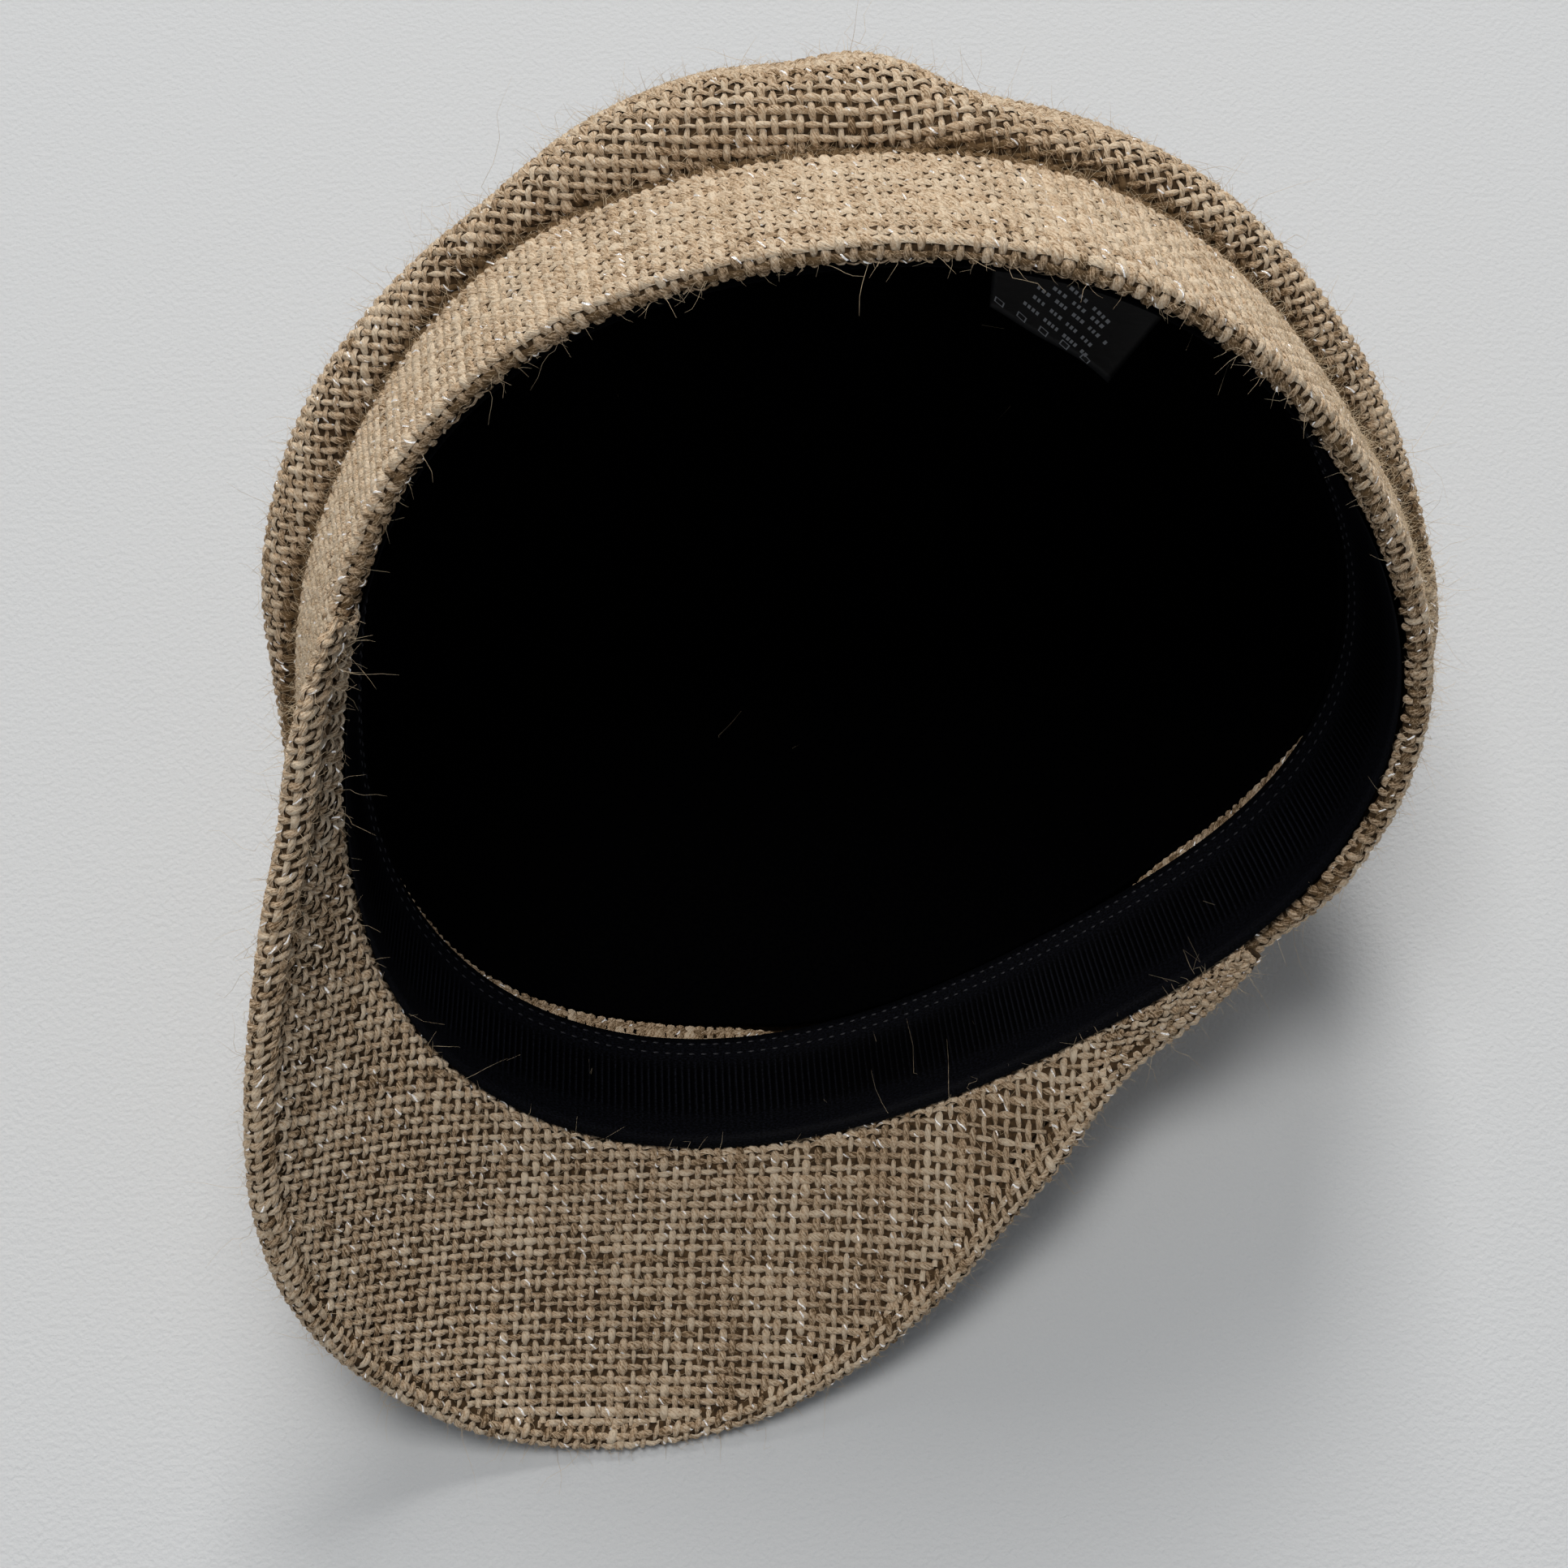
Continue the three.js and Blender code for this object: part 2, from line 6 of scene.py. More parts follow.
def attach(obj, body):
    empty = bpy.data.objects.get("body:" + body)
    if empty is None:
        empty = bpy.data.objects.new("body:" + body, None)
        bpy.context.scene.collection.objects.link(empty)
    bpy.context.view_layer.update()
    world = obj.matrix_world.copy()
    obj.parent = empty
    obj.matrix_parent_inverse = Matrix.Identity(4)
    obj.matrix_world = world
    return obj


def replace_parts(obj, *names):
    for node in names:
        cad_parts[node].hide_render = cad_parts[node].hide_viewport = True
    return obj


# The camera looks down at the cap at the photograph's angle.
scene = bpy.context.scene
camera = bpy.data.objects.new("camera", bpy.data.cameras.new("camera"))
camera.data.lens = 72.67
camera.data.sensor_width = 36
camera.data.clip_start = 0.01
# The first three columns turn the camera by 20 degrees from straight down, the last places it.
camera.matrix_world = Matrix((
    (1.0, -0.000144, 0.000378, -0.01269),
    (0.000264, 0.939690, -0.342028, -0.19444),
    (-0.000306, 0.342028, 0.939690, 0.58704),
    (0, 0, 0, 1),
))
scene.collection.objects.link(camera)
scene.camera = camera
scene.view_settings.view_transform = "Standard"
scene.view_settings.look = "None"

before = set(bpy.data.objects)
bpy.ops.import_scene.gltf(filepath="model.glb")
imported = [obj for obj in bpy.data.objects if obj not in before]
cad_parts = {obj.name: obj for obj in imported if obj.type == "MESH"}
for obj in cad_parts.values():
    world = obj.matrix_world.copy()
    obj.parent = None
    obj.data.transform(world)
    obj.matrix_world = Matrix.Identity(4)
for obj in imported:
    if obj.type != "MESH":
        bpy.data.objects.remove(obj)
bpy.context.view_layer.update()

MM = 0.001

# The cap's own shape, with the sizes of its CAD model, in millimetres and degrees.
# In the cap's frame u is the wearer's right, v is forward and w runs from rim to crown.

RIM_RADIUS = 89.9
# Each wave: how many to the turn, its cosine and sine share of the radius, and of the height.
RIM_WAVES = ((2, 0.035, -0.030, -6.0, 1.2), (3, 0.024, -0.018, 1.8, 1.9),
             (4, 0.016, 0.004, 0, 0), (5, -0.007, -0.003, 0, 0))
WAVES_END = 90
BAND_HEIGHT = 29
HEM_WIDTH = 3.6
SEAM_GAP = 0.4
# Angle, distance of the roll's foot outside the rim's line, and radius of the roll.
CROWN_ROWS = np.array((
    (-180, 3.4, 5.9), (-165, 3.8, 5.0), (-154, 4.1, 9.6), (-146, 4.7, 9.1), (-138, 5.4, 9.8),
    (-128, 5.9, 9.0), (-115, 6.4, 5.9), (-100, 5.3, 6.9), (-85, 6.0, 8.0), (-70, 8.0, 6.5),
    (-55, 7.9, 3.4), (-35, 5.6, 6.0), (0, 2.4, 7.2), (35, 1.4, 7.4), (65, 2.8, 7.6),
    (90, 5.4, 8.0), (112, 7.0, 6.4), (128, 6.4, 3.2), (145, 3.3, 6.0), (162, 2.7, 6.2)))
ROLL_START, ROLL_END = -25, 130
CROWN_DEPTH = 104
TOP_FLATNESS = 5
# Angle, and how far the ribbon's free edge leans in.
SWEATBAND_ROWS = np.array((
    (-180, 4.5), (-100, 3.5), (-50, 3.0), (0, 2.8), (35, 4.6), (70, 6.2), (105, 5.6), (150, 4.5)))
SWEATBAND_TOP, SWEATBAND_EDGE = 0.9, 28.5
PEAK_LEFT, PEAK_RIGHT = -79, 82
ARCH_LEFT, ARCH_RIGHT = -79, 61
TAIL_START, TAIL_END = 48, 66
TAIL_CLEAR, TAIL_BLEND = 0.8, 13
# Angle, and radius of the peak's edge.
PEAK_OUTLINE = np.array((
    (-79, 91.6), (-72, 93.1), (-60, 95.6), (-52, 100.6), (-44, 107.3), (-36, 116.2),
    (-27, 127.7), (-18, 138.1), (-9, 144.9), (0, 147.2), (9, 143.4), (18, 134.1), (27, 121.6),
    (36, 109.1), (44, 99.3), (50, 94.5), (55, 92.3), (61, 91.7), (66, 91.7), (71, 91.4),
    (76, 90.9), (82, 90.2)))
PEAK_SLOPE = 30
PEAK_THICKNESS = 3.6
PEAK_TAPER, PEAK_TAIL_TAPER = 16, 36
PEAK_END_SHARE = 0.4
PEAK_ROLL = 2.3
PEAK_GROOVE = 4.6
PEAK_SEAT, PEAK_SEAT_BLEND = 3.1, 4
PEAK_LEAST = 3.3
PEAK_TUCK = 0.1
FRONT_TURN, OPENING_TILT, TABLE_TURN = -31.2, 56, 4.9
RIM_HEIGHT = 93.5
SHIFT = np.array((0.394, -7.244, 0.0))
PATCH_BLEND = 4


def table_at(rows, column, angle):
    """Smooth periodic cubic through a table's rows, by their angles in the first column."""
    angles = rows[:, 0]
    padded = np.concatenate([angles[-2:] - 360, angles, angles[:2] + 360])
    values = np.concatenate([rows[-2:, column], rows[:, column], rows[:2, column]])
    turn = (np.asarray(angle, float) - angles[0]) % 360 + angles[0]
    i = np.clip(np.searchsorted(padded, turn, side="right") - 1, 1, len(padded) - 3)
    span = padded[i + 1] - padded[i]
    share = (turn - padded[i]) / span
    slope_from = (values[i + 1] - values[i - 1]) / (padded[i + 1] - padded[i - 1]) * span
    slope_to = (values[i + 2] - values[i]) / (padded[i + 2] - padded[i]) * span
    square, cube = share ** 2, share ** 3
    return ((2 * cube - 3 * square + 1) * values[i] + (cube - 2 * square + share) * slope_from
            + (3 * square - 2 * cube) * values[i + 1] + (cube - square) * slope_to)


def ease(start, end, value):
    """Smooth step from 0 to 1."""
    t = np.clip((value - start) / (end - start), 0, 1)
    return t * t * (3 - 2 * t)


def rim_radius(angle):
    """Radius of the rim's inner line: a circle with waves of 2 to 5 to the turn."""
    a = np.radians(angle)
    return RIM_RADIUS * (1 + sum(c * np.cos(k * a) + s * np.sin(k * a) for k, c, s, _, _ in RIM_WAVES))


def rim_lift(angle):
    """How far the same waves move the rim along w."""
    a = np.radians(angle)
    return sum(c * np.cos(k * a) + s * np.sin(k * a) for k, _, _, c, s in RIM_WAVES)


def wall_point(angle, out, down):
    """Point at an angle round the rim, a distance outside its line and a depth below it."""
    radius = rim_radius(angle) + out
    a = np.radians(angle)
    w = down + rim_lift(angle) * np.clip(1 - down / WAVES_END, 0, 1)
    return np.stack(np.broadcast_arrays(radius * np.sin(a), radius * np.cos(a), w), -1)


def turn_matrix(degrees, axis):
    """Turn about one axis, as an array of three rows."""
    return np.array(Matrix.Rotation(np.radians(degrees), 3, axis))


LYING = (turn_matrix(TABLE_TURN, "Z") @ turn_matrix(OPENING_TILT, "X")
         @ turn_matrix(FRONT_TURN, "Z") @ np.diag((1.0, -1.0, -1.0)))


def lay_down(points, floor=0.0):
    """The cap's frame turned to lie on the table, with the cloth pressed flat at the floor."""
    placed = points @ LYING.T
    z = placed[..., 2] + RIM_HEIGHT - floor
    bend = (z + PATCH_BLEND) ** 2 / (4 * PATCH_BLEND)
    z = np.where(z < -PATCH_BLEND, 0, np.where(z < PATCH_BLEND, bend, z))
    return np.concatenate([placed[..., :2], (z + floor)[..., None]], -1) + SHIFT


def roll_place(angle, turn):
    """Out and down of the crown's roll, a circle arc whose radius and foot vary round the cap."""
    roll = table_at(CROWN_ROWS, 2, angle)
    foot = table_at(CROWN_ROWS, 1, angle)
    b = np.radians(turn)
    return foot + roll * np.sin(b), BAND_HEIGHT + roll - roll * np.cos(b)


def roll_point(angle, turn):
    """Point of the roll at an angle round the cap and a turn round the arc."""
    out, down = roll_place(angle, turn)
    return wall_point(angle, out, down)


def dome_point(angle, share, inset=0.0, depth=CROWN_DEPTH):
    """Dome from the end of the roll (share 0) to the middle (share 1), a power curve."""
    out, down = roll_place(angle, ROLL_END)
    edge = wall_point(angle, out - inset, down + SEAM_GAP)
    fill = 1 - (1 - share) ** TOP_FLATNESS
    w = edge[..., 2] + (depth - edge[..., 2]) * fill
    return np.stack([edge[..., 0] * (1 - share), edge[..., 1] * (1 - share), w], -1)


def peak_share(angle):
    """Share of the peak's full thickness: less towards its two ends."""
    rise = ease(PEAK_LEFT, PEAK_LEFT + PEAK_TAPER, angle)
    fall = ease(PEAK_RIGHT - PEAK_TAIL_TAPER, PEAK_RIGHT, angle)
    return PEAK_END_SHARE + (1 - PEAK_END_SHARE) * rise * (1 - fall)


def tail_share(angle):
    """How far the peak has flattened into its tail along the rim, from 0 to 1."""
    return ease(TAIL_START, TAIL_END, angle)


def peak_seat(angle):
    """How much lower the band's hem sits under the peak."""
    rise = ease(PEAK_LEFT - PEAK_SEAT_BLEND, PEAK_LEFT, angle)
    fall = ease(PEAK_RIGHT, PEAK_RIGHT + TAIL_BLEND, angle)
    share, tail = peak_share(angle), tail_share(angle)
    under_tail = (PEAK_THICKNESS / 2 + PEAK_ROLL) * share + TAIL_CLEAR
    depth = PEAK_SEAT * share * (1 - tail) + under_tail * tail
    return depth * rise * (1 - fall)


front_radius = float(rim_radius(0))
left_corner, right_corner = wall_point(ARCH_LEFT, 0, 0), wall_point(ARCH_RIGHT, 0, 0)
slope = np.tan(np.radians(PEAK_SLOPE))
arch = (slope * (front_radius - (left_corner[1] + right_corner[1]) / 2)
        / ((right_corner[0] - left_corner[0]) / 2) ** 2)


def peak_height(u, v):
    """Height of the peak's middle surface: a slope forward, and a square arch across."""
    return -slope * (v - front_radius) - arch * u * u


def peak_facing(u, angle):
    """Direction at right angles to the peak, on the side of the wearer's eyes."""
    sloped = 1 - tail_share(angle)
    facing = np.stack(np.broadcast_arrays(-2 * arch * u * sloped, -slope * sloped, -1.0), -1)
    return facing / np.linalg.norm(facing, axis=-1, keepdims=True)


def peak_radii(angle):
    """Inner radius, edge radius, half thickness and groove of the peak at an angle."""
    half = PEAK_THICKNESS / 2 * peak_share(angle)
    rim = wall_point(angle, 0, 0)
    facing = peak_facing(rim[..., 0], angle)
    a = np.radians(angle)
    lean = facing[..., 0] * np.sin(a) + facing[..., 1] * np.cos(a)
    inner = rim_radius(angle) - PEAK_TUCK + half * np.abs(lean)
    edge = np.maximum(table_at(PEAK_OUTLINE, 1, angle), inner + PEAK_LEAST)
    return inner, edge, half, np.minimum(PEAK_GROOVE, 0.8 * (edge - inner))


def peak_point(angle, inward, over):
    """Point of the sloped, arched peak: inward from its edge, and over its middle surface."""
    inner, edge, half, _ = peak_radii(angle)
    a = np.radians(angle)
    radius = edge - inward
    u, v = radius * np.sin(a), radius * np.cos(a)
    rim = wall_point(angle, 0, 0)
    to_rim = np.clip(inward / (edge - inner), 0, 1)
    seam = (rim[..., 2] + half - peak_height(rim[..., 0], rim[..., 1])) * to_rim ** 2
    tail = tail_share(angle)
    w = (peak_height(u, v) + seam) * (1 - tail) + (rim[..., 2] + half) * tail
    point = np.stack(np.broadcast_arrays(u, v, w), -1)
    return point + peak_facing(u, angle) * np.asarray(over)[..., None]


def linear(hex_colour):
    """Linear red, green, blue and 1 from an sRGB hex colour."""
    c = np.array([int(hex_colour[i:i + 2], 16) for i in (1, 3, 5)]) / 255
    return tuple(np.where(c <= 0.04045, c / 12.92, ((c + 0.055) / 1.055) ** 2.4)) + (1.0,)


def new_material(name):
    """Material and its shader."""
    material = bpy.data.materials.new(name)
    material.use_nodes = True
    nodes = material.node_tree.nodes
    return material, nodes["Principled BSDF"]


def connect(material, node, links):
    """Sets inputs by name or number: to a value, or linked where it is an output of a node."""
    for key, value in links.items():
        if isinstance(value, bpy.types.NodeSocket):
            material.node_tree.links.new(value, node.inputs[key])
        else:
            node.inputs[key].default_value = value


def add(material, kind, links=(), output=0, stops=(), **settings):
    """Adds a node and gives one output of it. links are its inputs in order, or by name, and
    stops are a colour ramp's (position, hex colour) pairs."""
    node = material.node_tree.nodes.new("ShaderNode" + kind)
    for key, value in settings.items():
        setattr(node, key, value)
    if stops:
        while len(node.color_ramp.elements) < len(stops):
            node.color_ramp.elements.new(0.5)
        for element, (position, colour) in zip(node.color_ramp.elements, stops):
            element.position = position
            element.color = linear(colour)
    connect(material, node, links if isinstance(links, dict) else dict(enumerate(links)))
    return node.outputs[output]


# The yarn map's x is in mm, so each of these is per mm of yarn.
FIBRE_WIND, FIBRE_STRETCH = 0.16, 0.45
SLUB_STRETCH = 0.11
FILAMENT_WIND, FILAMENT_STRETCH = 0.31, 0.35
# How strongly fibres, slubs, the yarn's shade (its own, with painted shade at seams and folds)
# and the down's grain change the colour, and the middle of them all.
FIBRE_PART, SLUB_PART, SHADE_PART, DOWN_PART, MIX_MIDDLE = 1.15, 0.5, 0.3, 0.8, -0.775
FILAMENT_HALF_WIDTH, FILAMENT_BREAKS = 0.052, 0.612


def jute_yarn(name, pale, middle, dark):
    """Slubby jute yarn. The yarn map runs along (x, mm) and round (y, turns) each yarn, and the
    tint map holds its shade, painted darker at seams and folds as painted shade, and a number of its
    own. A few carry a silver filament."""
    material, shader = new_material(name)
    place = add(material, "UVMap", uv_map="yarn")
    along = add(material, "SeparateXYZ", (place,), 0)
    turns = add(material, "SeparateXYZ", (place,), 1)
    tint = add(material, "UVMap", uv_map="tint")
    shade = add(material, "SeparateXYZ", (tint,), 0)
    own = add(material, "SeparateXYZ", (tint,), 1)
    # Fibres about 2 mm long wind round the yarn about once in 6 mm.
    twist = add(material, "Math", (along, FIBRE_WIND, turns), operation="MULTIPLY_ADD")
    fibre_place = add(material, "CombineXYZ", (
        add(material, "Math", (along, FIBRE_STRETCH), operation="MULTIPLY"),
        add(material, "Math", (twist, 13.0), operation="MULTIPLY"), own))
    fibres = add(material, "TexNoise", {
        "Vector": fibre_place, "Scale": 1.0, "Detail": 3.0, "Roughness": 0.6})
    # Slubs change the shade about every 9 mm.
    slub_place = add(material, "CombineXYZ", (
        add(material, "Math", (along, SLUB_STRETCH), operation="MULTIPLY"),
        add(material, "Math", (own, 40.0), operation="MULTIPLY")))
    slubs = add(material, "TexNoise", {"Vector": slub_place, "Scale": 1.0, "Detail": 2.0})
    # Down too fine to model shows as a woolly grain of about 0.4 mm.
    object_place = add(material, "TexCoord", output="Object")
    down = add(material, "TexNoise", {
        "Vector": object_place, "Scale": 2300.0, "Detail": 3.0, "Roughness": 0.7})
    mix = add(material, "Math", (shade, SHADE_PART, MIX_MIDDLE), operation="MULTIPLY_ADD")
    mix = add(material, "Math", (slubs, SLUB_PART, mix), operation="MULTIPLY_ADD")
    mix = add(material, "Math", (fibres, FIBRE_PART, mix), operation="MULTIPLY_ADD")
    mix = add(material, "Math", (down, DOWN_PART, mix), operation="MULTIPLY_ADD")
    colour = add(material, "ValToRGB", (mix,), stops=((0.34, dark), (0.53, middle), (0.76, pale)))
    # The filament winds once in 3 mm and shows as short bright dashes on top of the yarn.
    wound = add(material, "Math", (along, FILAMENT_WIND, turns), operation="MULTIPLY_ADD")
    wound = add(material, "Math", (wound,), operation="FRACT")
    on_top = add(material, "Math", (wound, 0.5, FILAMENT_HALF_WIDTH), operation="COMPARE")
    broken_place = add(material, "CombineXYZ", (
        add(material, "Math", (along, FILAMENT_STRETCH), operation="MULTIPLY"),
        add(material, "Math", (own, 90.0), operation="MULTIPLY")))
    broken = add(material, "TexNoise", {"Vector": broken_place, "Scale": 1.0, "Detail": 1.0})
    unbroken = add(material, "Math", (broken, FILAMENT_BREAKS), operation="GREATER_THAN")
    silver = add(material, "Math", (on_top, unbroken), operation="MULTIPLY")
    colour = add(material, "Mix", {0: silver, 6: colour, 7: linear("#f4f2f0")}, 2, data_type="RGBA")
    height = add(material, "Math", (down, 0.6, fibres), operation="MULTIPLY_ADD")
    bump = add(material, "Bump", {"Height": height, "Strength": 1.0, "Distance": 0.4 * MM})
    # A glint is brighter than lit foil can be here, so a little light of its own is added.
    connect(material, shader, {
        "Base Color": colour, "Normal": bump, "Specular IOR Level": 0.25,
        "Roughness": add(material, "Math", (silver, -0.7, 0.9), operation="MULTIPLY_ADD"),
        "Metallic": add(material, "Math", (silver, 0.7), operation="MULTIPLY"),
        "Emission Color": linear("#ffffff"),
        "Emission Strength": add(material, "Math", (silver, 0.3), operation="MULTIPLY")})
    return material


def cloth(name, dark, pale, scale, roughness, gloss=0.2):
    """Plain cloth between two near shades, with a fine uneven surface. scale is per metre."""
    material, shader = new_material(name)
    place = add(material, "TexCoord", output="Object")
    uneven = add(material, "TexNoise", {"Vector": place, "Scale": scale, "Detail": 4.0})
    colour = add(material, "ValToRGB", (uneven,), stops=((0.35, dark), (0.65, pale)))
    bump = add(material, "Bump", {"Height": uneven, "Strength": 0.6, "Distance": 0.1 * MM})
    connect(material, shader, {
        "Base Color": colour, "Roughness": roughness, "Normal": bump, "Specular IOR Level": gloss})
    return material


def plain(name, colour, roughness):
    """One plain colour, for threads and prints too thin to show a pattern."""
    material, shader = new_material(name)
    connect(material, shader, {"Base Color": linear(colour), "Roughness": roughness})
    return material


def ribbed_ribbon(name):
    """Ribbed ribbon. The cloth map is (mm round the cap, mm from the rim), and the rib map
    holds how far a place stands out on a rib: the crests are painted paler as painted highlight, the
    grooves darker as painted shade, and the crests shine a little."""
    material, shader = new_material(name)
    place = add(material, "UVMap", uv_map="cloth")
    # Threads half a millimetre wide, a little coarser than real so that they show.
    thread_place = add(material, "CombineXYZ", (
        add(material, "Math", (add(material, "SeparateXYZ", (place,), 0), 2.0), operation="MULTIPLY"),
        add(material, "Math", (add(material, "SeparateXYZ", (place,), 1), 3.6), operation="MULTIPLY")))
    weave = add(material, "TexNoise", {"Vector": thread_place, "Scale": 1.0, "Detail": 3.0})
    crest_highlight = add(material, "SeparateXYZ", (add(material, "UVMap", uv_map="rib_highlight"),), 0)
    # Painted highlight and painted shade: the crest value makes rib crests paler and grooves darker.
    tone = add(material, "Math", (weave, 1.5), operation="MULTIPLY")
    tone = add(material, "Math", (tone, crest_highlight), operation="MULTIPLY")
    colour = add(material, "ValToRGB", (tone,), stops=((0.42, "#010102"), (0.93, "#1c1e27")))
    bump = add(material, "Bump", {"Height": weave, "Strength": 0.7, "Distance": 0.2 * MM})
    connect(material, shader, {
        "Base Color": colour, "Roughness": 0.6, "Normal": bump,
        "Specular IOR Level": add(material, "Math", (crest_highlight, 0.1), operation="MULTIPLY")})
    return material


# Natural jute, spun coarse and unbleached: pale straw with darker strands, and nearly no gloss.
jute = jute_yarn("jute yarn", "#efddc3", "#cdb191", "#6e573b")
# The same jute deep between the yarns, in dark brown: partly the jute's own colour and partly painted
# shade, the shade that falls in the holes between the yarns.
backing_and_painted_shade = cloth("jute backing and painted shade", "#33271a", "#57432d", 900, 0.95)
# Single fibres of jute: pale, and a little glossier than a whole yarn.
fibre = plain("loose jute fibre", "#d6c2a3", 0.7)
# Dyed black cotton: nearly no light comes back.
black = cloth("black lining", "#000001", "#020203", 1500, 0.95, gloss=0.03)
# Black petersham ribbon, woven of cotton and viscose.
ribbon = ribbed_ribbon("black ribbon")
# Polyester sewing thread, a little paler than the ribbon round it.
thread = plain("black thread", "#1f2027", 0.6)
# Woven polyester satin of a care label: smooth, with a soft wide gloss.
satin = cloth("black satin", "#030304", "#070709", 800, 0.45, gloss=0.16)
# Pale grey printing ink.
print_ink = plain("pale print", "#808286", 0.6)


def make_piece(name, points, faces, material, maps=(), smooth=True):
    """Mesh object from points in millimetres, faces, and per-point (x, y) maps."""
    mesh = bpy.data.meshes.new(name)
    mesh.vertices.add(len(points))
    mesh.vertices.foreach_set("co", (points * MM).astype(np.float32).ravel())
    corners = faces.shape[1]
    mesh.loops.add(faces.size)
    mesh.loops.foreach_set("vertex_index", faces.astype(np.int32).ravel())
    mesh.polygons.add(len(faces))
    mesh.polygons.foreach_set("loop_start", np.arange(0, faces.size, corners, dtype=np.int32))
    mesh.polygons.foreach_set("use_smooth", np.full(len(faces), smooth))
    for map_name, values in maps:
        layer = mesh.uv_layers.new(name=map_name)
        layer.data.foreach_set("uv", values[faces.ravel()].astype(np.float32).ravel())
    mesh.update(calc_edges=True)
    mesh.materials.append(material)
    piece = bpy.data.objects.new(name, mesh)
    scene.collection.objects.link(piece)
    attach(piece, "root")
    return piece


def unit(vectors):
    """Vectors of length 1."""
    return vectors / (np.linalg.norm(vectors, axis=-1, keepdims=True) + 1e-9)


def grid_quads(rows, columns, wrap=False):
    """Quads of a grid of rows by columns, the columns closed where wrap is set."""
    index = np.arange(rows * columns).reshape(rows, columns)
    right = np.roll(index, -1, axis=1)
    a, b = index[:-1], right[:-1]
    c, d = right[1:], index[1:]
    if not wrap:
        a, b, c, d = a[:, :-1], b[:, :-1], c[:, :-1], d[:, :-1]
    return np.stack([a, b, c, d], -1).reshape(-1, 4)


# Distance from yarn to yarn.
PITCH = 2.05
# What every net has unless its call says otherwise, in mm: a yarn's width and height, how far
# its middle line swings over and under, and how far it lies over the solid. across is the
# number of points over a strip, tone a change of shade, and crease a function of painted shade: darker
# colour put where shade falls in seams and folds.
YARN = {"width": 1.24, "height": 0.5, "swing": 0.4, "lift": 0.14, "across": 4, "tone": 0.0,
        "crease": None}
# Slow changes along a yarn, in mm: of its line, its thickness and its shade.
DRIFT, DRIFT_SCALE = 0.24, 7
SWELL, SWELL_SCALE = 0.26, 7
SLUB, SLUB_SCALE = 0.16, 1.7
SHADE_SCALE = 16
# The strip's sunken share of its height, and how much wider it spreads where it lies on top.
SUNK, SPREAD = 0.35, 0.14
# The net round the cap is made to meet itself over this length.
CLOSING = 12
FLOOR_CLEAR = 0.02
hair_roots = []


def smooth_noise(shape, scale, seed):
    """Smooth values in -1 to 1 along the last axis, one row per yarn, by blending random ones."""
    local = np.random.default_rng(seed)
    rows, length = shape
    knots = int(length / scale) + 4
    values = local.uniform(-1, 1, (rows, knots))
    x = np.arange(length) / scale
    i = x.astype(int)
    t = x - i
    t = t * t * (3 - 2 * t)
    return values[:, i] * (1 - t) + values[:, i + 1] * t


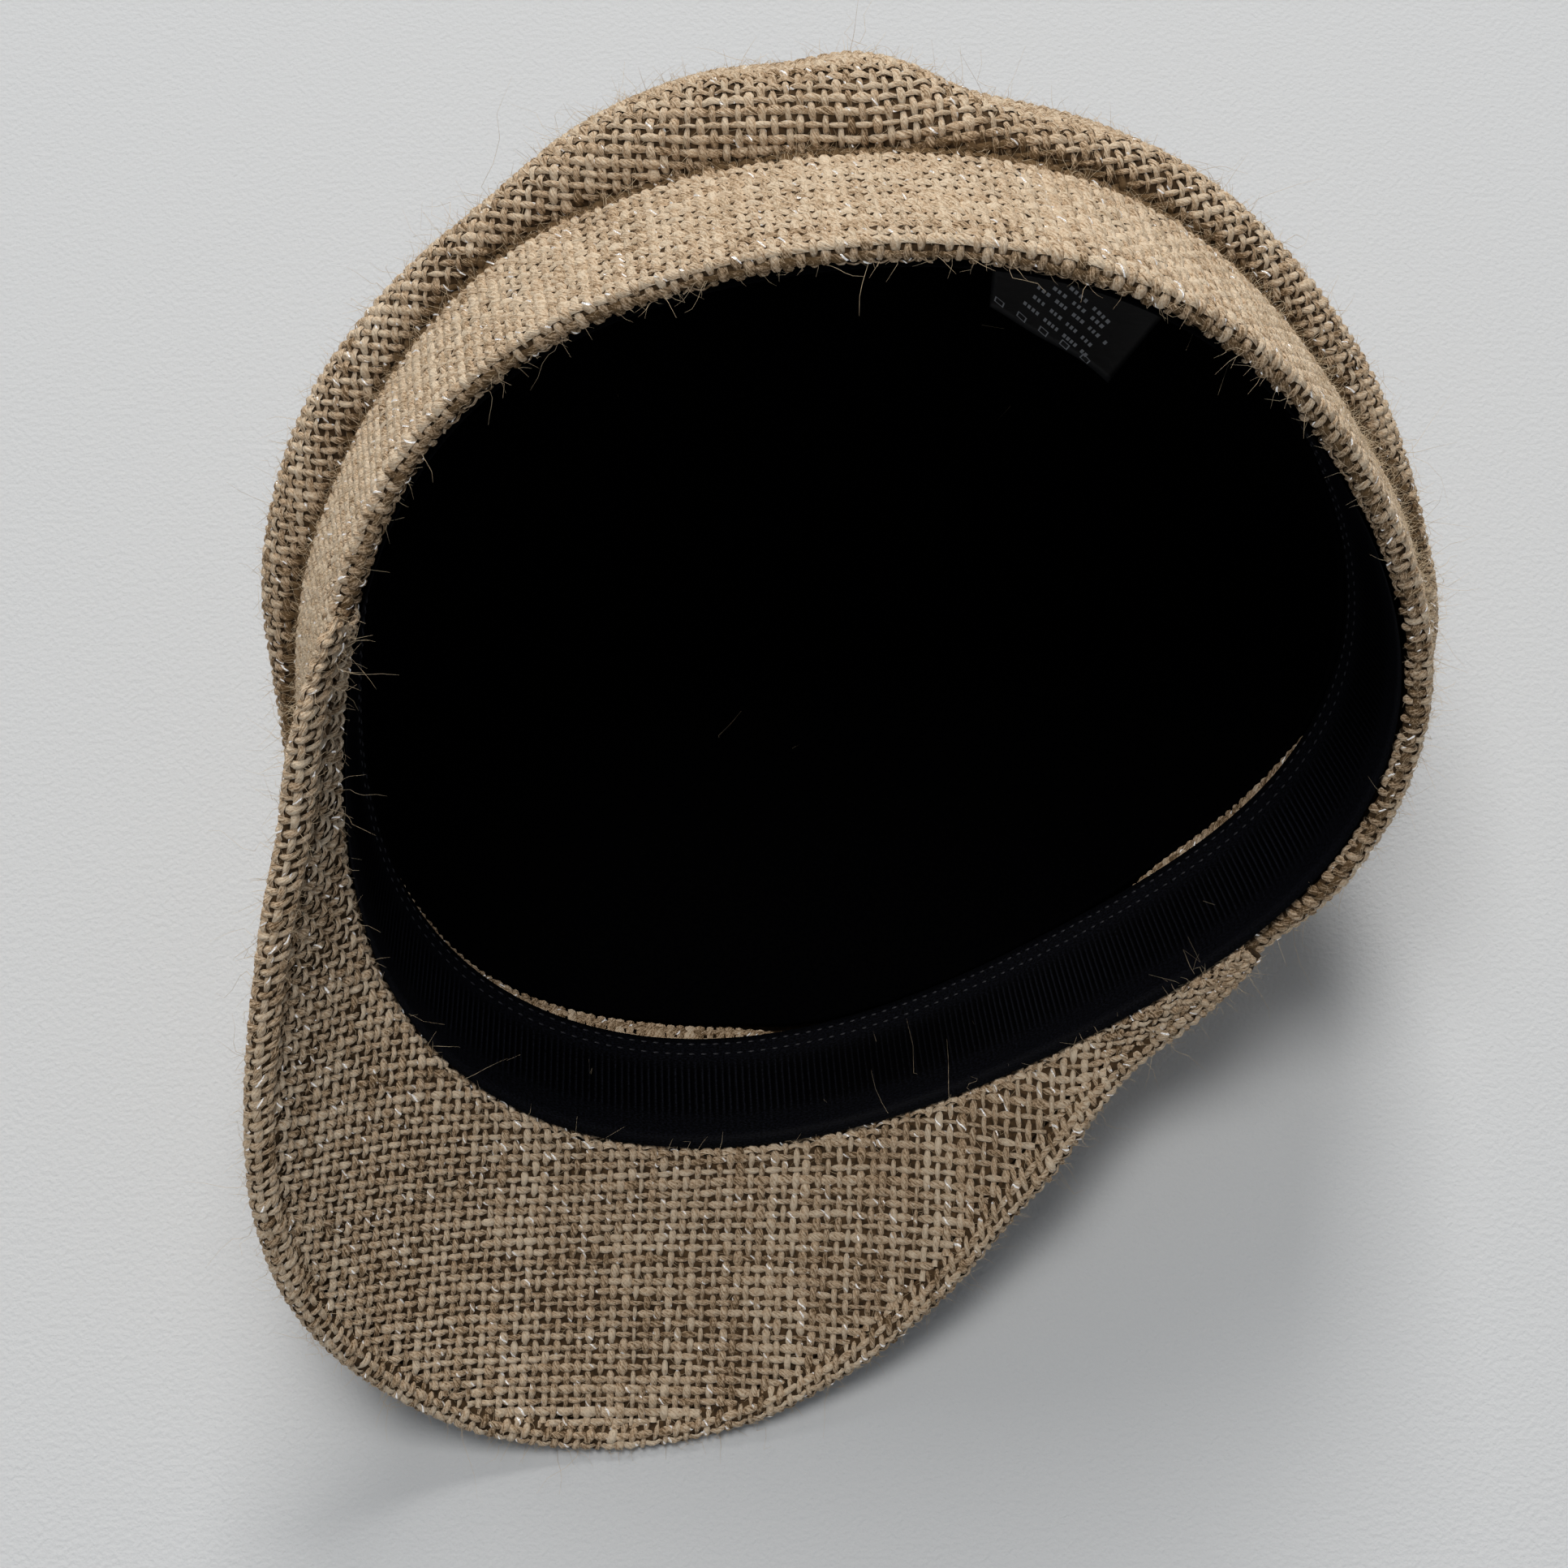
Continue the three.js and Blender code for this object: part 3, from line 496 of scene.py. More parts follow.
def yarns(surface, facing, across_lines, along_samples, crosswise, seed, closed, look):
    """Strips over every yarn of one direction. A yarn's middle line lies on the surface at a
    whole number of pitches and swings over and under by a cosine; its section is a half oval.
    surface maps (p, q) to (point, valid), and facing is 1 where p, q and the outward direction
    are right-handed. crosswise yarns run along p, the others along q."""
    lines, samples = np.meshgrid(across_lines, along_samples, indexing="ij")
    local = np.random.default_rng(seed)
    count, length = lines.shape
    per_mm = 1 / (along_samples[1] - along_samples[0])
    drift = smooth_noise(lines.shape, DRIFT_SCALE * per_mm, seed + 1) * DRIFT
    swell = (1 + SWELL * smooth_noise(lines.shape, SWELL_SCALE * per_mm, seed + 2)
             + SLUB * smooth_noise(lines.shape, SLUB_SCALE * per_mm, seed + 3))
    own_size = 1 + local.normal(0, 0.14, (count, 1)).clip(-0.3, 0.4)
    if closed:
        blend = ease(0, CLOSING * per_mm, np.arange(length))[None]
        swell = swell[:, :1] * (1 - blend) + swell * blend
        fade = ease(0, CLOSING * per_mm, np.arange(length)[::-1])[None]
        swell = swell * fade + swell[:, :1] * (1 - fade)
        drift = drift * blend * fade
    phase = np.cos(np.pi * (samples / PITCH + lines / PITCH + (1 if crosswise else 0)))
    wide = look["width"] / 2 * swell * own_size * (1 + SPREAD * phase)
    middle = look["lift"] + look["swing"] * phase
    place_line = lines + drift

    def at(line, sample):
        """Place of a sample on a line: the surface's two measures change over if crosswise."""
        return surface(sample, line) if crosswise else surface(line, sample)

    step = 0.05
    centre, valid = at(place_line, samples)
    side_point, _ = at(place_line + step, samples)
    ahead_point, _ = at(place_line, samples + step)
    side = unit(side_point - centre)
    ahead = ahead_point - centre
    normal = unit(facing * (np.cross(ahead, side) if crosswise else np.cross(side, ahead)))
    turn = np.linspace(0, np.pi, look["across"])
    reach = wide[..., None] * np.cos(turn)
    height = look["height"]
    over = middle[..., None] + (height * swell)[..., None] * (np.sin(turn) - SUNK)
    points = (centre[..., None, :] + side[..., None, :] * reach[..., None]
              + normal[..., None, :] * over[..., None])
    points[..., 2] = np.maximum(points[..., 2], FLOOR_CLEAR)
    live = valid[:, :-1] & valid[:, 1:]
    index = np.arange(points[..., 0].size).reshape(points.shape[:-1])
    a, b = index[:, :-1, :-1], index[:, :-1, 1:]
    c, d = index[:, 1:, 1:], index[:, 1:, :-1]
    quads = np.stack([a, b, c, d], -1)[live].reshape(-1, 4)
    along = np.broadcast_to(samples[..., None], points.shape[:-1])
    around = np.broadcast_to(turn / (2 * np.pi), points.shape[:-1])
    own = local.uniform(0, 1, (count, 1, 1))
    # Painted shade: the yarn's shade is darkened at seams and folds, where shade falls.
    painted_darkening = 0
    if look["crease"]:
        painted_darkening = look["crease"](*((samples, lines) if crosswise else (lines, samples)))
    patches = 0.5 + 0.5 * smooth_noise(lines.shape, SHADE_SCALE * per_mm, seed + 4)
    shade = look["tone"] - painted_darkening + local.normal(0.5, 0.28, (count, 1)) * 0.6 + 0.4 * patches
    tint = np.stack(np.broadcast_arrays(shade[..., None], own, points[..., 0])[:2], -1)
    yarn = np.stack([along, around], -1)
    top = centre + normal * (middle + height * 0.5)[..., None]
    on_top = valid & (phase > 0.3)
    if facing == (-1 if crosswise else 1):
        quads = quads[:, ::-1]
    return points, quads, yarn, tint, (top[on_top], normal[on_top])


def net(name, surface, facing, p_range, q_range, seed, p_count=None, samples=3, **look):
    """Plain weave over a surface: both directions of yarn, as one piece. p_count closes the net
    round the cap with that many yarns, and samples is the number of points to a pitch."""
    look = {**YARN, **look}
    p_lines = np.arange(np.ceil(p_range[0] / PITCH), np.floor(p_range[1] / PITCH) + 1) * PITCH
    q_lines = np.arange(np.ceil(q_range[0] / PITCH), np.floor(q_range[1] / PITCH) + 1) * PITCH
    p_samples = np.arange(p_range[0], p_range[1] + PITCH / samples, PITCH / samples)
    q_samples = np.arange(q_range[0], q_range[1] + PITCH / samples, PITCH / samples)
    if p_count:
        p_lines = np.arange(p_count) * PITCH
        p_samples = np.linspace(0, p_count * PITCH, p_count * samples + 1)
    both = (yarns(surface, facing, p_lines, q_samples, False, seed, False, look),
            yarns(surface, facing, q_lines, p_samples, True, seed + 10, bool(p_count), look))
    points, quads, maps, tints, start = [], [], [], [], 0
    for some_points, faces, yarn, tint, roots in both:
        used, compact = np.unique(faces, return_inverse=True)
        points.append(some_points.reshape(-1, 3)[used])
        quads.append(compact.reshape(faces.shape) + start)
        maps.append(yarn.reshape(-1, 2)[used])
        tints.append(tint.reshape(-1, 2)[used])
        start += len(used)
        hair_roots.append(roots)
    return make_piece(name, np.concatenate(points), np.concatenate(quads), jute,
                      (("yarn", np.concatenate(maps)), ("tint", np.concatenate(tints))))


round_angles = np.linspace(-180, 180, 721)


def arc_lengths(points):
    """Length along a row of points, from 0 at the first."""
    return np.concatenate([[0], np.cumsum(np.linalg.norm(np.diff(points, axis=0), axis=1))])


round_lengths = arc_lengths(wall_point(round_angles, HEM_WIDTH, BAND_HEIGHT / 2))
ROUND_YARNS = 2 * round(round_lengths[-1] / PITCH / 2)
ROUND_LENGTH = ROUND_YARNS * PITCH
HEM_ROUND = 1.3
HEM_LENGTH = 4.9
BAND_LENGTH = 26.5


def angle_at(p):
    """Angle round the cap at a distance round the band, by an even share of its length."""
    length = round_lengths[-1]
    return np.interp(p / ROUND_LENGTH * length % length, round_lengths, round_angles)


def band_surface(p, q):
    """The hem's half oval, then a straight wall that leans out to the crown's seam."""
    angle = angle_at(p)
    seat = peak_seat(angle)
    foot = table_at(CROWN_ROWS, 1, angle)
    turn = np.pi * np.clip(q / HEM_LENGTH, 0, 1)
    share = np.clip((q - HEM_LENGTH) / BAND_LENGTH, 0, 1)
    out = HEM_WIDTH / 2 * (1 - np.cos(turn)) + (foot - HEM_WIDTH) * share
    down = seat + HEM_ROUND * (1 - np.sin(turn)) + (BAND_HEIGHT - seat - HEM_ROUND) * share
    return lay_down(wall_point(angle, out, down)), (q >= 0) & (q <= HEM_LENGTH + BAND_LENGTH)


# Painted shade: how much a seam's colour is darkened, and between which distances from it the painted
# shade ends.
SEAM_PAINTED_SHADE = 1.5
BAND_SEAM_SHADE = (3, 0.8)
HEM_PAINTED_SHADE, HEM_SHADE = 0.6, (1.5, 5.5)
SIDE_SEAM_SHADE = (2.6, 6.2)


def band_crease(p, q):
    """Painted shade where the band is tucked in at the crown's seam, and a little painted shade in the
    hem's fold.
    """
    end = HEM_LENGTH + BAND_LENGTH
    seam = ease(end - BAND_SEAM_SHADE[0], end - BAND_SEAM_SHADE[1], q)
    return SEAM_PAINTED_SHADE * seam + HEM_PAINTED_SHADE * (1 - ease(*HEM_SHADE, q))


# The crown's side is cut from a ring with a straight grain, turned to run along the back left.
SIDE_GRAIN = 31.2


def side_place(p, q):
    """Angle round the cap and distance from the inner edge of the flat ring."""
    angle = np.degrees(np.arctan2(p, q)) + SIDE_GRAIN
    return angle, np.hypot(p, q) - rim_radius(angle) - table_at(CROWN_ROWS, 1, angle)


def side_surface(p, q):
    """The roll: the flat ring's distance from its inner edge is the length along the roll."""
    angle, from_edge = side_place(p, q)
    turn = ROLL_START + np.degrees(from_edge / table_at(CROWN_ROWS, 2, angle))
    point = roll_point(angle, np.clip(turn, ROLL_START, ROLL_END + 4))
    return lay_down(point), (turn >= ROLL_START) & (turn <= ROLL_END + 3)


def side_crease(p, q):
    """Painted shade where the crown's side is tucked in at its seam with the band."""
    return SEAM_PAINTED_SHADE * (1 - ease(*SIDE_SEAM_SHADE, side_place(p, q)[1]))


profile_shares = np.linspace(0, 1, 400)
profile_lengths = arc_lengths(dome_point(np.zeros(400), 1 - profile_shares))
# The top's cloth is gathered a little, so its flat disc is smaller than the dome is long.
TOP_GATHER = 0.87
TOP_REACH = profile_lengths[-1] * TOP_GATHER


def top_surface(p, q):
    """The dome: the flat disc's distance from its middle is the gathered length over the dome."""
    angle = np.degrees(np.arctan2(p, q)) + SIDE_GRAIN
    length = np.hypot(p, q) / TOP_GATHER
    from_middle = np.interp(length, profile_lengths, profile_shares)
    return lay_down(dome_point(angle, 1 - from_middle)), length <= profile_lengths[-1]


# The peak's cloth is cut with its grain turned by this angle, and laid out from this point.
PEAK_GRAIN = 20
PEAK_START = 100
# How far the near cloth turns down behind the ribbon.
BEHIND_RIBBON = 2.4
u_table = np.linspace(-110, 110, 441)
level = np.cos(np.radians(PEAK_SLOPE))
flat_arch = arch * level
u_lengths = (u_table / 2 * np.sqrt(1 + (2 * flat_arch * u_table) ** 2)
             + np.arcsinh(2 * flat_arch * u_table) / (4 * flat_arch))


def peak_place(p, q):
    """Place on the peak's flat cloth, unrolled over slope and arch: its angle, its distance from
    the edge, half the thickness there, whether it is cloth, and how far it is past the rim."""
    g = np.radians(PEAK_GRAIN)
    u = np.interp(p * np.cos(g) + q * np.sin(g), u_lengths, u_table)
    v = PEAK_START + (q * np.cos(g) - p * np.sin(g) - slope * flat_arch * u ** 2) * level
    angle = np.degrees(np.arctan2(u, v))
    within = (angle > PEAK_LEFT) & (angle < PEAK_RIGHT)
    angle = np.clip(angle, PEAK_LEFT, PEAK_RIGHT)
    inner, edge, half, groove = peak_radii(angle)
    inward = edge - np.hypot(u, v)
    past = inward - (edge - inner)
    valid = within & (inward > groove * 0.8) & (past < BEHIND_RIBBON)
    return angle, np.clip(inward, 0, edge - inner), half, valid, np.clip(past, 0, BEHIND_RIBBON)


def near_peak(p, q):
    """The side of the peak that faces the wearer's eyes. It turns down behind the ribbon."""
    angle, inward, half, valid, past = peak_place(p, q)
    point = peak_point(angle, inward, half)
    point[..., 2] += past
    return lay_down(point), valid


def far_peak(p, q):
    """The outer side of the peak."""
    angle, inward, half, valid, past = peak_place(p, q)
    return lay_down(peak_point(angle, inward, -half)), valid & (past < 0.3)


edge_angles = np.linspace(PEAK_LEFT, PEAK_RIGHT, 281)
edge_lengths = arc_lengths(peak_point(edge_angles, 0.0, 0.0))
EDGE_LENGTH = edge_lengths[-1]
# Width of the cloth over the roll, the turn that it reaches each way, and its closed end.
ROLL_LENGTH = 11.2
ROLL_TURN = 140
END_LENGTH = 2.5


def edge_surface(p, q):
    """The cloth rolled round the peak's edge, from the groove on the near side to the far side.
    Past its left end it closes to a point by a quarter oval."""
    past_end = np.clip(-p, 0, END_LENGTH)
    angle = np.interp(p, edge_lengths, edge_angles) - past_end * 0.5
    _, _, half, groove = peak_radii(angle)
    closing = np.sqrt(1 - (past_end / END_LENGTH) ** 2 * 0.98)
    turn = ROLL_TURN - 2 * ROLL_TURN * np.clip(q / ROLL_LENGTH, 0, 1)
    roll = PEAK_ROLL * peak_share(angle) * closing
    half = half * closing
    inward = groove / 2 * (1 - np.cos(np.radians(turn)) * closing)
    past = np.clip((np.abs(turn) - 90) / 50, 0, 1)
    over = np.sign(turn) * roll * np.abs(np.sin(np.radians(np.clip(turn, -90, 90))))
    over = over - np.sign(turn) * (roll - 0.7 * half) * past ** 2
    valid = (p >= -END_LENGTH) & (p <= EDGE_LENGTH) & (q >= 0) & (q <= ROLL_LENGTH)
    return lay_down(peak_point(angle, inward, over)), valid


# Edge of the lining, sewn to a strip of jute inside the band: angle, out and down.
LINING_ROWS = np.array((
    (-180, -5.6, 29.3), (-90, -4.5, 29.3), (-55, -3.7, 29.3), (-40, -2.6, 31.0), (-27, -2.2, 32.3),
    (-15, -1.4, 33.0), (-4, -2.8, 33.0), (5, -3.8, 33.0), (14, -3.7, 32.6), (23, -3.4, 30.9),
    (32, -5.0, 29.3), (62, -6.7, 29.3), (74, -6.9, 30.8), (88, -6.4, 31.9), (100, -6.1, 30.9),
    (112, -6.4, 29.3), (150, -5.6, 29.3)))
# The strip shows in two crescents, each between the angles where it widens and narrows.
CRESCENTS = ((-52, -30, 14, 32), (60, 78, 96, 112))
STRIP_WIDTH, STRIP_START = 6, 26.5


def seam_surface(p, q):
    """The strip of jute from behind the ribbon's free edge to behind the lining's edge."""
    angle = angle_at(p)
    share = np.clip(q / STRIP_WIDTH, 0, 1)
    start = 1.5 - table_at(SWEATBAND_ROWS, 1, angle)
    turn = (angle + 180) % 360 - 180
    width = sum(ease(a, b, turn) * (1 - ease(c, d, turn)) for a, b, c, d in CRESCENTS)
    out = start + (table_at(LINING_ROWS, 1, angle) + 0.9 - start) * share * width
    down = STRIP_START + (table_at(LINING_ROWS, 2, angle) + 0.3 - STRIP_START) * share * width
    valid = (q >= 0) & (q <= STRIP_WIDTH) & (width > 0.03)
    return lay_down(wall_point(angle, out, down)), valid


net("band_weave", band_surface, -1, (0, ROUND_LENGTH), (0, HEM_LENGTH + BAND_LENGTH), 100,
    ROUND_YARNS, swing=0.3, width=1.42, tone=0.16, crease=band_crease)
net("crown_side_weave", side_surface, -1, (-135, 135), (-135, 135), 200, width=1.15, swing=0.43,
    crease=side_crease)
net("crown_top_weave", top_surface, 1, (-TOP_REACH, TOP_REACH), (-TOP_REACH, TOP_REACH), 300,
    samples=2, across=3)
net("peak_near_weave", near_peak, -1, (-130, 130), (-130, 80), 400, tone=-0.02, width=1.12,
    swing=0.46)
net("peak_far_weave", far_peak, 1, (-130, 130), (-130, 80), 500, samples=2, width=1.6)
net("peak_edge_weave", edge_surface, -1, (-END_LENGTH, EDGE_LENGTH), (0, ROLL_LENGTH), 600,
    lift=0.05, tone=-0.15)
net("inner_seam_weave", seam_surface, 1, (0, ROUND_LENGTH), (0, STRIP_WIDTH), 700, ROUND_YARNS,
    samples=2, across=3, width=1.7, height=0.35, swing=0.12, tone=-0.4)
for name in ("band", "crown_side", "crown_top", "peak_cover", "peak_underside"):
    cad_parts[name].data.materials.clear()
    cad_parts[name].data.materials.append(backing_and_painted_shade)


# How thickly each net's two directions of yarn are covered with loose fibres, in the order in
# which the nets are made.
HAIR_SHARE = np.repeat((1.4, 1.3, 0.25, 1.0, 0.5, 1.7, 0.1), 2)
# Share of that inside the head opening, from this depth below the rim.
HAIR_INSIDE, INSIDE_START, INSIDE_END = 0.03, 0.8, 40


def fibres(name, count, low, high, segments, thickness, seed, stand=1.3):
    """Thin three-sided threads. Each starts on a yarn and bends away along a parabola, with a
    slow random wave; its length is drawn between low and high with short ones more common.
    stand is how strongly they stand up from the cloth."""
    local = np.random.default_rng(seed)
    tops = np.concatenate([r[0] for r in hair_roots])
    normals = np.concatenate([r[1] for r in hair_roots])
    share = np.repeat(HAIR_SHARE, [len(r[0]) for r in hair_roots])
    # Yarns inside the head opening, most of them behind the ribbon, carry few.
    own = (tops - SHIFT - (0, 0, RIM_HEIGHT)) @ LYING
    turn = np.degrees(np.arctan2(own[:, 0], own[:, 1]))
    below = own[:, 2] - rim_lift(turn)
    inside = np.hypot(own[:, 0], own[:, 1]) < rim_radius(turn) + 0.5
    inside &= (below > INSIDE_START) & (below < INSIDE_END)
    share = np.where(inside, HAIR_INSIDE * share, share)
    pick = local.choice(len(tops), count, replace=False, p=share / share.sum())
    root, normal = tops[pick], normals[pick]
    wander = local.normal(0, 1, (count, 3))
    start = wander + normal * local.uniform(0, stand, (count, 1))
    start /= np.linalg.norm(start, axis=1, keepdims=True)
    bend = local.normal(0, 0.6, (count, 3)) + normal * 0.1 * stand
    length = low + (high - low) * local.beta(1.1, 4.5, (count, 1))
    t = np.linspace(0, 1, segments + 1)[None, :, None]
    wave = local.normal(0, 0.13, (count, 1, 3)) * np.sin(t * local.uniform(4, 11, (count, 1, 1)))
    line = root[:, None] + length[:, None] * (t * start[:, None] + t ** 2 * bend[:, None] + wave)
    line[..., 2] = np.maximum(line[..., 2], 0.1)
    ahead = unit(np.gradient(line, axis=1))
    side = unit(np.cross(ahead, normal[:, None]))
    up = np.cross(side, ahead)
    around = np.radians((0, 120, 240))[None, None, :, None]
    thin = thickness / 2 * (1 - 0.7 * t[..., None] ** 2)
    ring = np.cos(around) * side[:, :, None] + np.sin(around) * up[:, :, None]
    points = line[:, :, None] + thin * ring
    index = np.arange(count * (segments + 1) * 3).reshape(count, segments + 1, 3)
    right = np.roll(index, -1, axis=2)
    quads = np.stack([index[:, :-1], index[:, 1:], right[:, 1:], right[:, :-1]], -1)
    return make_piece(name, points.reshape(-1, 3), quads.reshape(-1, 4), fibre)


fibres("long_fibres", 1800, 2.5, 13, 5, 0.07, 21)
fibres("fuzz", 11500, 0.8, 4.2, 2, 0.065, 22)
fibres("lying_fuzz", 9500, 1.2, 4.6, 2, 0.08, 23, stand=0.35)


# The ribbon: ribs to the turn, points to a rib, thickness, and height of ribs and edge loops.
RIBS = 460
RIB_STEPS = 4
RIBBON_BACK, RIBBON_THICKNESS, RIBBON_LEAN = 0.3, 1.0, 1.4
RIB_HEIGHT, LOOP_HEIGHT = 0.13, 0.12
# Shares of the ribbon's width between which the ribs rise and fade.
RIBS_RISE, RIBS_FADE = (0.22, 0.44), (0.68, 0.82)
RIBBON_WIDTH = SWEATBAND_EDGE - SWEATBAND_TOP
MM_PER_DEGREE = 1.57


def ribbon_out(angle, share):
    """How far out the ribbon's back is: it leans in from the rim to its free edge by a power."""
    lean = table_at(SWEATBAND_ROWS, 1, angle) - RIBBON_LEAN
    return -RIBBON_BACK - lean * share ** 1.5


def build_sweatband():
    """Closed ribbon: its inner face runs from the rim to the free edge with a power curve. Ribs
    are a cosine round the cap, and they fade out towards the plain borders at both edges."""
    angle = np.linspace(-180, 180, RIBS * RIB_STEPS, endpoint=False)
    share = np.concatenate([
        np.linspace(0, 0.28, 3), np.linspace(0.36, 0.76, 5), np.linspace(0.82, 1, 4)])
    back = share[::-4]
    shares = np.concatenate([share, back])[:, None]
    inner = np.concatenate([np.ones(len(share)), np.zeros(len(back))])[:, None]
    between = ease(*RIBS_RISE, shares) * (1 - ease(*RIBS_FADE, shares))
    wave = np.cos(np.radians(angle * RIBS))[None]
    loops = np.abs(np.cos(np.radians(angle * RIBS / 2)))[None] * (shares < 0.01) * inner
    out = (ribbon_out(angle[None], shares)
           - inner * (RIBBON_THICKNESS + RIB_HEIGHT * wave * between))
    down = SWEATBAND_TOP + RIBBON_WIDTH * shares - LOOP_HEIGHT * loops
    angles = np.broadcast_to(angle, out.shape)
    points = lay_down(wall_point(angles, out, down))
    rows, columns = out.shape
    quads = grid_quads(rows, columns, wrap=True)
    last = np.arange(columns) + (rows - 1) * columns
    first = np.arange(columns)
    close = np.stack([last, np.roll(last, -1), np.roll(first, -1), first], -1)
    round_place = np.broadcast_to(angle * MM_PER_DEGREE, out.shape)
    cloth_map = np.stack([round_place, down + 3 * (1 - inner)], -1)
    # The painted highlight on the crests fades here and there, in two slow waves round the cap.
    patchy_highlight = 0.75 + 0.25 * np.sin(angle / 9 + 1)[None] * np.sin(angle / 23)[None]
    ridge = (0.5 + 0.5 * wave) ** 2
    # Painted highlight on the rib crests, painted shade in the grooves.
    crest_highlight = 0.72 * (1 - between) + between * (0.3 + 0.85 * ridge * patchy_highlight)
    rib_highlight_map = np.stack([crest_highlight, crest_highlight], -1)
    return make_piece("ribbed_sweatband", points.reshape(-1, 3), np.concatenate([quads, close]),
                      ribbon,
                      (("cloth", cloth_map.reshape(-1, 2)), ("rib_highlight", rib_highlight_map.reshape(-1, 2))))


# Stitches to the turn, shares of the ribbon's width where the two rows run, and one stitch's
# half length (degrees), half width and height.
STITCHES, STITCH_ROWS = 256, (0.86, 0.95)
STITCH_REACH, STITCH_WIDTH, STITCH_HEIGHT = 0.36, 0.17, 0.2


def build_stitches():
    """Two rows of short raised stitches near the ribbon's free edge, each a small half oval."""
    rows, columns = 3, 5
    angle = np.repeat(np.linspace(-180, 180, STITCHES, endpoint=False)[None], 2, 0)
    along = np.linspace(-1, 1, columns)
    over = np.linspace(-1, 1, rows)
    a = angle[..., None, None] + STITCH_REACH * along[None, None, None, :]
    half_width = STITCH_WIDTH * np.sqrt(np.clip(1.02 - along ** 2, 0, 1))
    aside = over[:, None] * half_width[None, :] / RIBBON_WIDTH
    share = np.array(STITCH_ROWS)[:, None, None, None] + 0 * a + aside
    height = STITCH_HEIGHT * (1 - over[:, None] ** 2) * np.sqrt(np.clip(1 - along[None, :] ** 2, 0, 1))
    out = ribbon_out(a, share) - RIBBON_THICKNESS - height
    points = lay_down(wall_point(a + 0 * share, out, SWEATBAND_TOP + RIBBON_WIDTH * share))
    one = grid_quads(rows, columns)
    starts = np.arange(2 * STITCHES) * rows * columns
    quads = (one[None] + starts[:, None, None]).reshape(-1, 4)
    return make_piece("ribbon_stitches", points.reshape(-1, 3), quads, thread)


LINING_THICKNESS, LINING_FLOOR = 1.2, 3.3
LINING_INSET, LINING_FOLD = 4.4, 1.4


def build_lining():
    """Closed soft dome: it starts at the jute strip and runs inside the crown. Slow waves round
    the cap, strongest at mid height, give it soft folds."""
    columns = 240
    angle = np.linspace(-180, 180, columns, endpoint=False)
    a = np.radians(angle)
    shares = np.linspace(0, 1, 26) ** 1.2
    local = np.random.default_rng(9)
    wave = sum(local.normal(0, 0.5) * np.cos(k * a + local.uniform(0, 6)) for k in range(4, 19))
    faces = []
    for under in (LINING_THICKNESS, 0.0):
        floor = LINING_FLOOR + under
        edge_out = table_at(LINING_ROWS, 1, angle) + LINING_THICKNESS - under
        rows = [lay_down(wall_point(angle, edge_out, table_at(LINING_ROWS, 2, angle)), floor)]
        for share in shares:
            fold = np.clip(LINING_FOLD + wave * 4 * share * (1 - share), 0, 5)
            inset = LINING_INSET + under + fold
            rows.append(lay_down(dome_point(angle, share, inset, CROWN_DEPTH - floor - 0.5), floor))
        faces.append(np.stack(rows))
    points = np.concatenate([faces[0][::-1], faces[1]])
    quads = grid_quads(len(points), columns, wrap=True)
    return make_piece("soft_lining", points.reshape(-1, 3), quads[:, ::-1], black)


# Where the label is sewn, round the rim, and its two free corners (u, v, w).
LABEL_LEFT, LABEL_RIGHT = -166, 171
LABEL_CORNERS = ((-9.0, -65, 35), (17.0, -61, 37))
LABEL_THICKNESS = 0.4
LABEL_SEAM_OUT = 0.55


def label_place(s, t):
    """Point of the label: s along its text, t from its seam to its free edge, and a soft bow."""
    def sewn(angle):
        """Point of the seam at an angle: a little outside the ribbon's lean, past its edge."""
        out = LABEL_SEAM_OUT - table_at(SWEATBAND_ROWS, 1, angle)
        return wall_point(angle, out, SWEATBAND_EDGE + SEAM_GAP)

    left, right = sewn(LABEL_LEFT), sewn(LABEL_RIGHT)
    free_left, free_right = np.array(LABEL_CORNERS)
    facing = np.cross(right - left, free_left - left)
    facing /= np.linalg.norm(facing)
    s, t = np.broadcast_arrays(s, t)
    s, t = s[..., None], t[..., None]
    sewn_side, free_side = left * (1 - s) + right * s, free_left * (1 - s) + free_right * s
    bow = 1.2 * np.sin(np.pi * s) * t + 0.5 * np.sin(7 * s + 2) * t ** 2
    return sewn_side * (1 - t) + free_side * t + facing * bow, facing


def build_label():
    """Closed satin flap: two like sheets and a rim of quads round them."""
    s, t = np.meshgrid(np.linspace(0, 1, 25), np.linspace(0, 1, 17), indexing="ij")
    near, facing = label_place(s, t)
    sheets = np.stack([near, near + facing * LABEL_THICKNESS])
    rows, columns = s.shape
    index = np.arange(sheets[..., 0].size).reshape(2, rows, columns)
    quads = grid_quads(rows, columns)
    border = np.concatenate([
        index[0, :-1, 0], index[0, -1, :-1], index[0, :0:-1, -1], index[0, 0, :0:-1]])
    following = np.roll(border, -1)
    step = rows * columns
    rim = np.stack([border, following, following + step, border + step], -1)
    quads = np.concatenate([quads[:, ::-1], quads + step, rim])
    return make_piece("satin_label", lay_down(sheets).reshape(-1, 3), quads, satin)


# Rows of blocks: where each starts and ends, along (s) and across (t) the flap, and how many.
MARK_ROWS = ((0.48, 0.43, 0.79, 0.56, 9), (0.39, 0.50, 0.81, 0.63, 12), (0.30, 0.56, 0.85, 0.73, 17),
             (0.29, 0.66, 0.81, 0.83, 16), (0.24, 0.76, 0.79, 0.92, 17))
MARK_TALL = np.array((-0.006, 0.034))
# The row of squares: where it starts and its step, and a square's half width, half height and
# width of line, each as (s, t) or a share of the square.
SQUARES_START, SQUARES_STEP = np.array((0.07, 0.9)), np.array((0.71, 0.065)) / 4
SQUARE_RIGHT, SQUARE_UP, SQUARE_LINE = np.array((0.036, 0.011)), np.array((-0.004, 0.026)), 0.256


